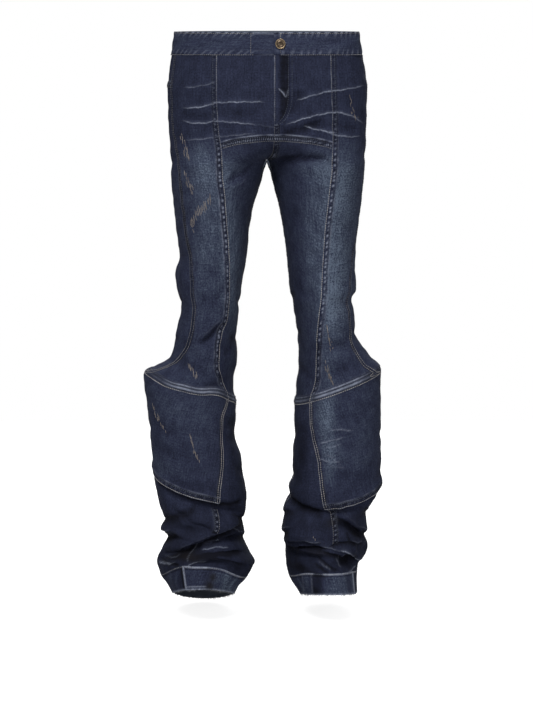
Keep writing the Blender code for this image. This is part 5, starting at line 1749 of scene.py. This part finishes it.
def stitch_rings(ends, up, radius):
    """Rings of each stitch: four along it, at heights -0.9, 0.5, 0.5 and -0.9 of the radius over the
    cloth."""
    shares = np.array([0.0, 0.28, 0.72, 1.0])
    rise = np.array([-0.9, 0.5, 0.5, -0.9]) * radius
    size = np.array([0.5, 1.0, 1.0, 0.5]) * radius
    ahead = unit(ends[:, 2] - ends[:, 0])
    across = unit(np.cross(ahead, up))
    lift = np.cross(across, ahead)
    bend = 4 * shares * (1 - shares)
    straight = ends[:, None, 0] * (1 - shares)[None, :, None] + ends[:, None, 2] * shares[None, :, None]
    sag = (ends[:, 1] - (ends[:, 0] + ends[:, 2]) / 2)[:, None] * bend[None, :, None]
    middle = straight + sag + lift[:, None] * rise[None, :, None]
    return middle[:, :, None] + size[None, :, None, None] * spokes_round(across, lift, THREAD_SIDES)[:, None]


for basket, marks in THREADS.items():
    ends, up = (np.concatenate(parts) for parts in zip(*marks))
    used = COTTONS.get(basket, SEWING_THREAD)
    thread_piece(f"stitching_{basket}", stitch_rings(ends, up, THREAD_RADIUS), used)


# ------------
# Scratches: raked places where short lengths of the undyed yarn lie bare on the cloth, in ragged rows.
# ------------

# From one end of a row to the other: x and z of both in millimetres, how far the yarns lie above and below
# the row, how many there are and how long they are.
SCRATCHES = {
    "front_thigh_outer_right": [
        (-143, -176, -131, -206, 4, 11, 12),
        (-138, -200, -130, -212, 4, 7, 12),
        (-139, -238, -124, -268, 4, 12, 12),
        (-135, -252, -124, -262, 5, 8, 9),
        (-94, -278, -126, -318, 4, 17, 19),
        (-98, -288, -128, -322, 6, 14, 9),
        (-127, -322, -121, -334, 3, 5, 6),
        (-132, -562, -118, -582, 5, 9, 13),
    ],
    "knee_panel_right": [
        (-194, -636, -183, -656, 3, 6, 12),
        (-186, -654, -171, -672, 4, 9, 8),
        (-129, -682, -118, -716, 4, 9, 12),
        (-124, -708, -114, -720, 4, 6, 6),
    ],
    "front_thigh_outer_left": [
        (139, -112, 147, -142, 3, 6, 12),
        (140, -136, 152, -144, 3, 5, 5),
        (102, -498, 108, -534, 6, 9, 13),
        (104, -514, 113, -530, 5, 8, 7),
        (99, -560, 111, -590, 5, 12, 12),
        (102, -576, 114, -590, 4, 10, 7),
    ],
    "front_lower_inner_left": [(80, -852, 83, -856, 2, 4, 3.5)],
}
YARN_RADIUS = 0.00034
YARN_BEIGE = (0.300, 0.262, 0.232)
YARN_BROWN = (0.125, 0.108, 0.100)


def laid_on(sewn, x, z):
    """Points and normals of a piece at given x and z: its nearest grid point that faces forward, moved in
    that point's own plane."""
    facing = sewn["normal"][..., 1] < -0.2
    points, normal = sewn["outer"][facing], sewn["normal"][facing]
    away = (points[None, :, 0] - x[:, None]) ** 2 + (points[None, :, 2] - z[:, None]) ** 2
    near = away.argmin(axis=1)
    here, up = points[near], normal[near]
    y = here[:, 1] - (up[:, 0] * (x - here[:, 0]) + up[:, 2] * (z - here[:, 2])) / up[:, 1]
    return np.stack([x, y, z], axis=-1), up


scratch_ends, scratch_up = [], []
for name, rows in SCRATCHES.items():
    for x1, z1, x2, z2, spread, count, long in rows:
        share = np.clip(np.linspace(0, 1, count) + random.normal(0, 0.02, count), 0, 1)
        x = (x1 + (x2 - x1) * share + random.normal(0, 0.9, count)) * MILLIMETRE
        z = (z1 + (z2 - z1) * share + random.uniform(-spread, spread, count)) * MILLIMETRE
        half = 0.5 * long * random.uniform(0.55, 1.1, count) * MILLIMETRE
        lean = random.normal(0.16, 0.05, count)
        ends = [laid_on(SEWN[name], x + k * half * lean, z - k * half)[0] for k in (-1, 0, 1)]
        scratch_ends.append(np.stack(ends, axis=1))
        scratch_up.append(laid_on(SEWN[name], x, z)[1])
BARE_YARN = cotton("bare_yarn", YARN_BEIGE, YARN_BROWN)
rings = stitch_rings(np.concatenate(scratch_ends), np.concatenate(scratch_up), YARN_RADIUS)
thread_piece("raked_yarns", rings, BARE_YARN)


# ------------
# Frayed weft at the hems: short loose ends of undyed yarn that hang from the raw foot of each band.
# ------------

FRAY_COUNT = 620
FRAY_LENGTH = (0.0012, 0.0037)
FRAY_RADIUS = 0.00016
FRAY_SUNK = 0.0009  # their roots lie this far inside the band's face
YARN_PALE = (0.420, 0.440, 0.480)
YARN_DUSTY = (0.170, 0.165, 0.170)
YARN = cotton("loose_weft", YARN_PALE, YARN_DUSTY)


def loose_ends(line, up, count):
    """Rings of short yarns that leave a line downwards and curl: three rings of three sides each."""
    passed = arc_lengths(line, 0)
    place = np.sort(random.uniform(0, passed[-1], count))
    root, out = read_along(place, passed, line), read_along(place, passed, up)
    clump = 0.5 + 0.5 * np.sin(place / 0.0115 + 3 * np.sin(place / 0.029))
    length = random.uniform(*FRAY_LENGTH, count) * (0.45 + 0.75 * clump)
    drift = random.normal(0, 0.45, (count, 3)) + out * random.uniform(-0.1, 0.5, (count, 1))
    way = unit(np.array([0.0, 0.0, -1.0]) + drift)
    curl = random.normal(0, 0.35, (count, 3))
    side = unit(np.cross(way, out))
    spokes = spokes_round(side, np.cross(way, side), 3)
    rings = []
    for share, size in ((0.0, 1.0), (0.5, 0.9), (1.0, 0.35)):
        middle = root - out * FRAY_SUNK + (way * share + curl * share**2) * length[:, None]
        rings.append(middle[:, None] + FRAY_RADIUS * size * spokes)
    return np.stack(rings, axis=1)


for side, (line, up) in FRAY_LINES.items():
    thread_piece(f"hem_fray_{side}", loose_ends(line, up, FRAY_COUNT), YARN)


# ------------
# Studio: a pale floor under the hanging legs, one broad light above and in front, a fill at the right, a
# light above, one behind, and a camera a little above the middle of the jeans.
# ------------

FLOOR = -1.000
CAMERA_PLACE = (0.0, -4.2, -0.11)
CAMERA_TILT = 5.9266  # degrees down
CAMERA_LENS = 125.717


def area_light(name, place, aim, size, power):
    """A square soft light at a place, turned to its aim."""
    light = bpy.data.lights.new(name, "AREA")
    light.shape = "SQUARE"
    light.size = size
    light.energy = power
    lamp = new_object(name, light)
    lamp.location = place
    x, y, z = np.array(aim, float) - np.array(place, float)
    lamp.rotation_euler = (math.atan2(math.hypot(x, y), -z), 0.0, math.atan2(y, x) - math.pi / 2)


bpy.ops.mesh.primitive_plane_add(size=5, location=(0, 0, FLOOR))
floor = bpy.context.object
floor.name = "studio_floor"
paint, tree, white = new_material("studio_white", {
    "Base Color": (0.5, 0.5, 0.5, 1), "Roughness": 0.9, "Specular IOR Level": 0.0,
    "Emission Color": (1.0, 1.0, 1.0, 1),
})
sight = new_node(tree, "ShaderNodeLightPath")
glow = calc(tree, "MULTIPLY", sight.outputs["Is Camera Ray"], 0.85)
tree.links.new(glow, white.inputs["Emission Strength"])
floor.data.materials.append(paint)

area_light("key_light", (-0.7, -2.3, 2.2), (0.0, 0.0, -0.50), 1.5, 100)
area_light("fill_light", (1.9, -2.8, 0.5), (0.0, 0.0, -0.5), 1.6, 22)
area_light("top_light", (0.0, 0.5, 2.6), (0.0, 0.0, -0.4), 2.2, 50)
area_light("back_light", (0.3, 3.4, 0.9), (0.0, 0.0, -0.5), 2.0, 60)

world = bpy.data.worlds.new("studio_air")
world.use_nodes = True
air = world.node_tree
back = air.nodes["Background"]
back.inputs["Color"].default_value = (1.0, 1.0, 1.0, 1)
ray = new_node(air, "ShaderNodeLightPath")
seen = calc(air, "MULTIPLY_ADD", ray.outputs["Is Camera Ray"], 0.72, 0.28)
air.links.new(seen, back.inputs["Strength"])
bpy.context.scene.world = world

lens = bpy.data.cameras.new("studio_camera")
lens.lens = CAMERA_LENS
lens.sensor_width = 36
camera = new_object("studio_camera", lens)
camera.location = CAMERA_PLACE
camera.rotation_euler = (math.radians(90 - CAMERA_TILT), 0, 0)
bpy.context.scene.camera = camera
bpy.context.scene.view_settings.view_transform = "Standard"
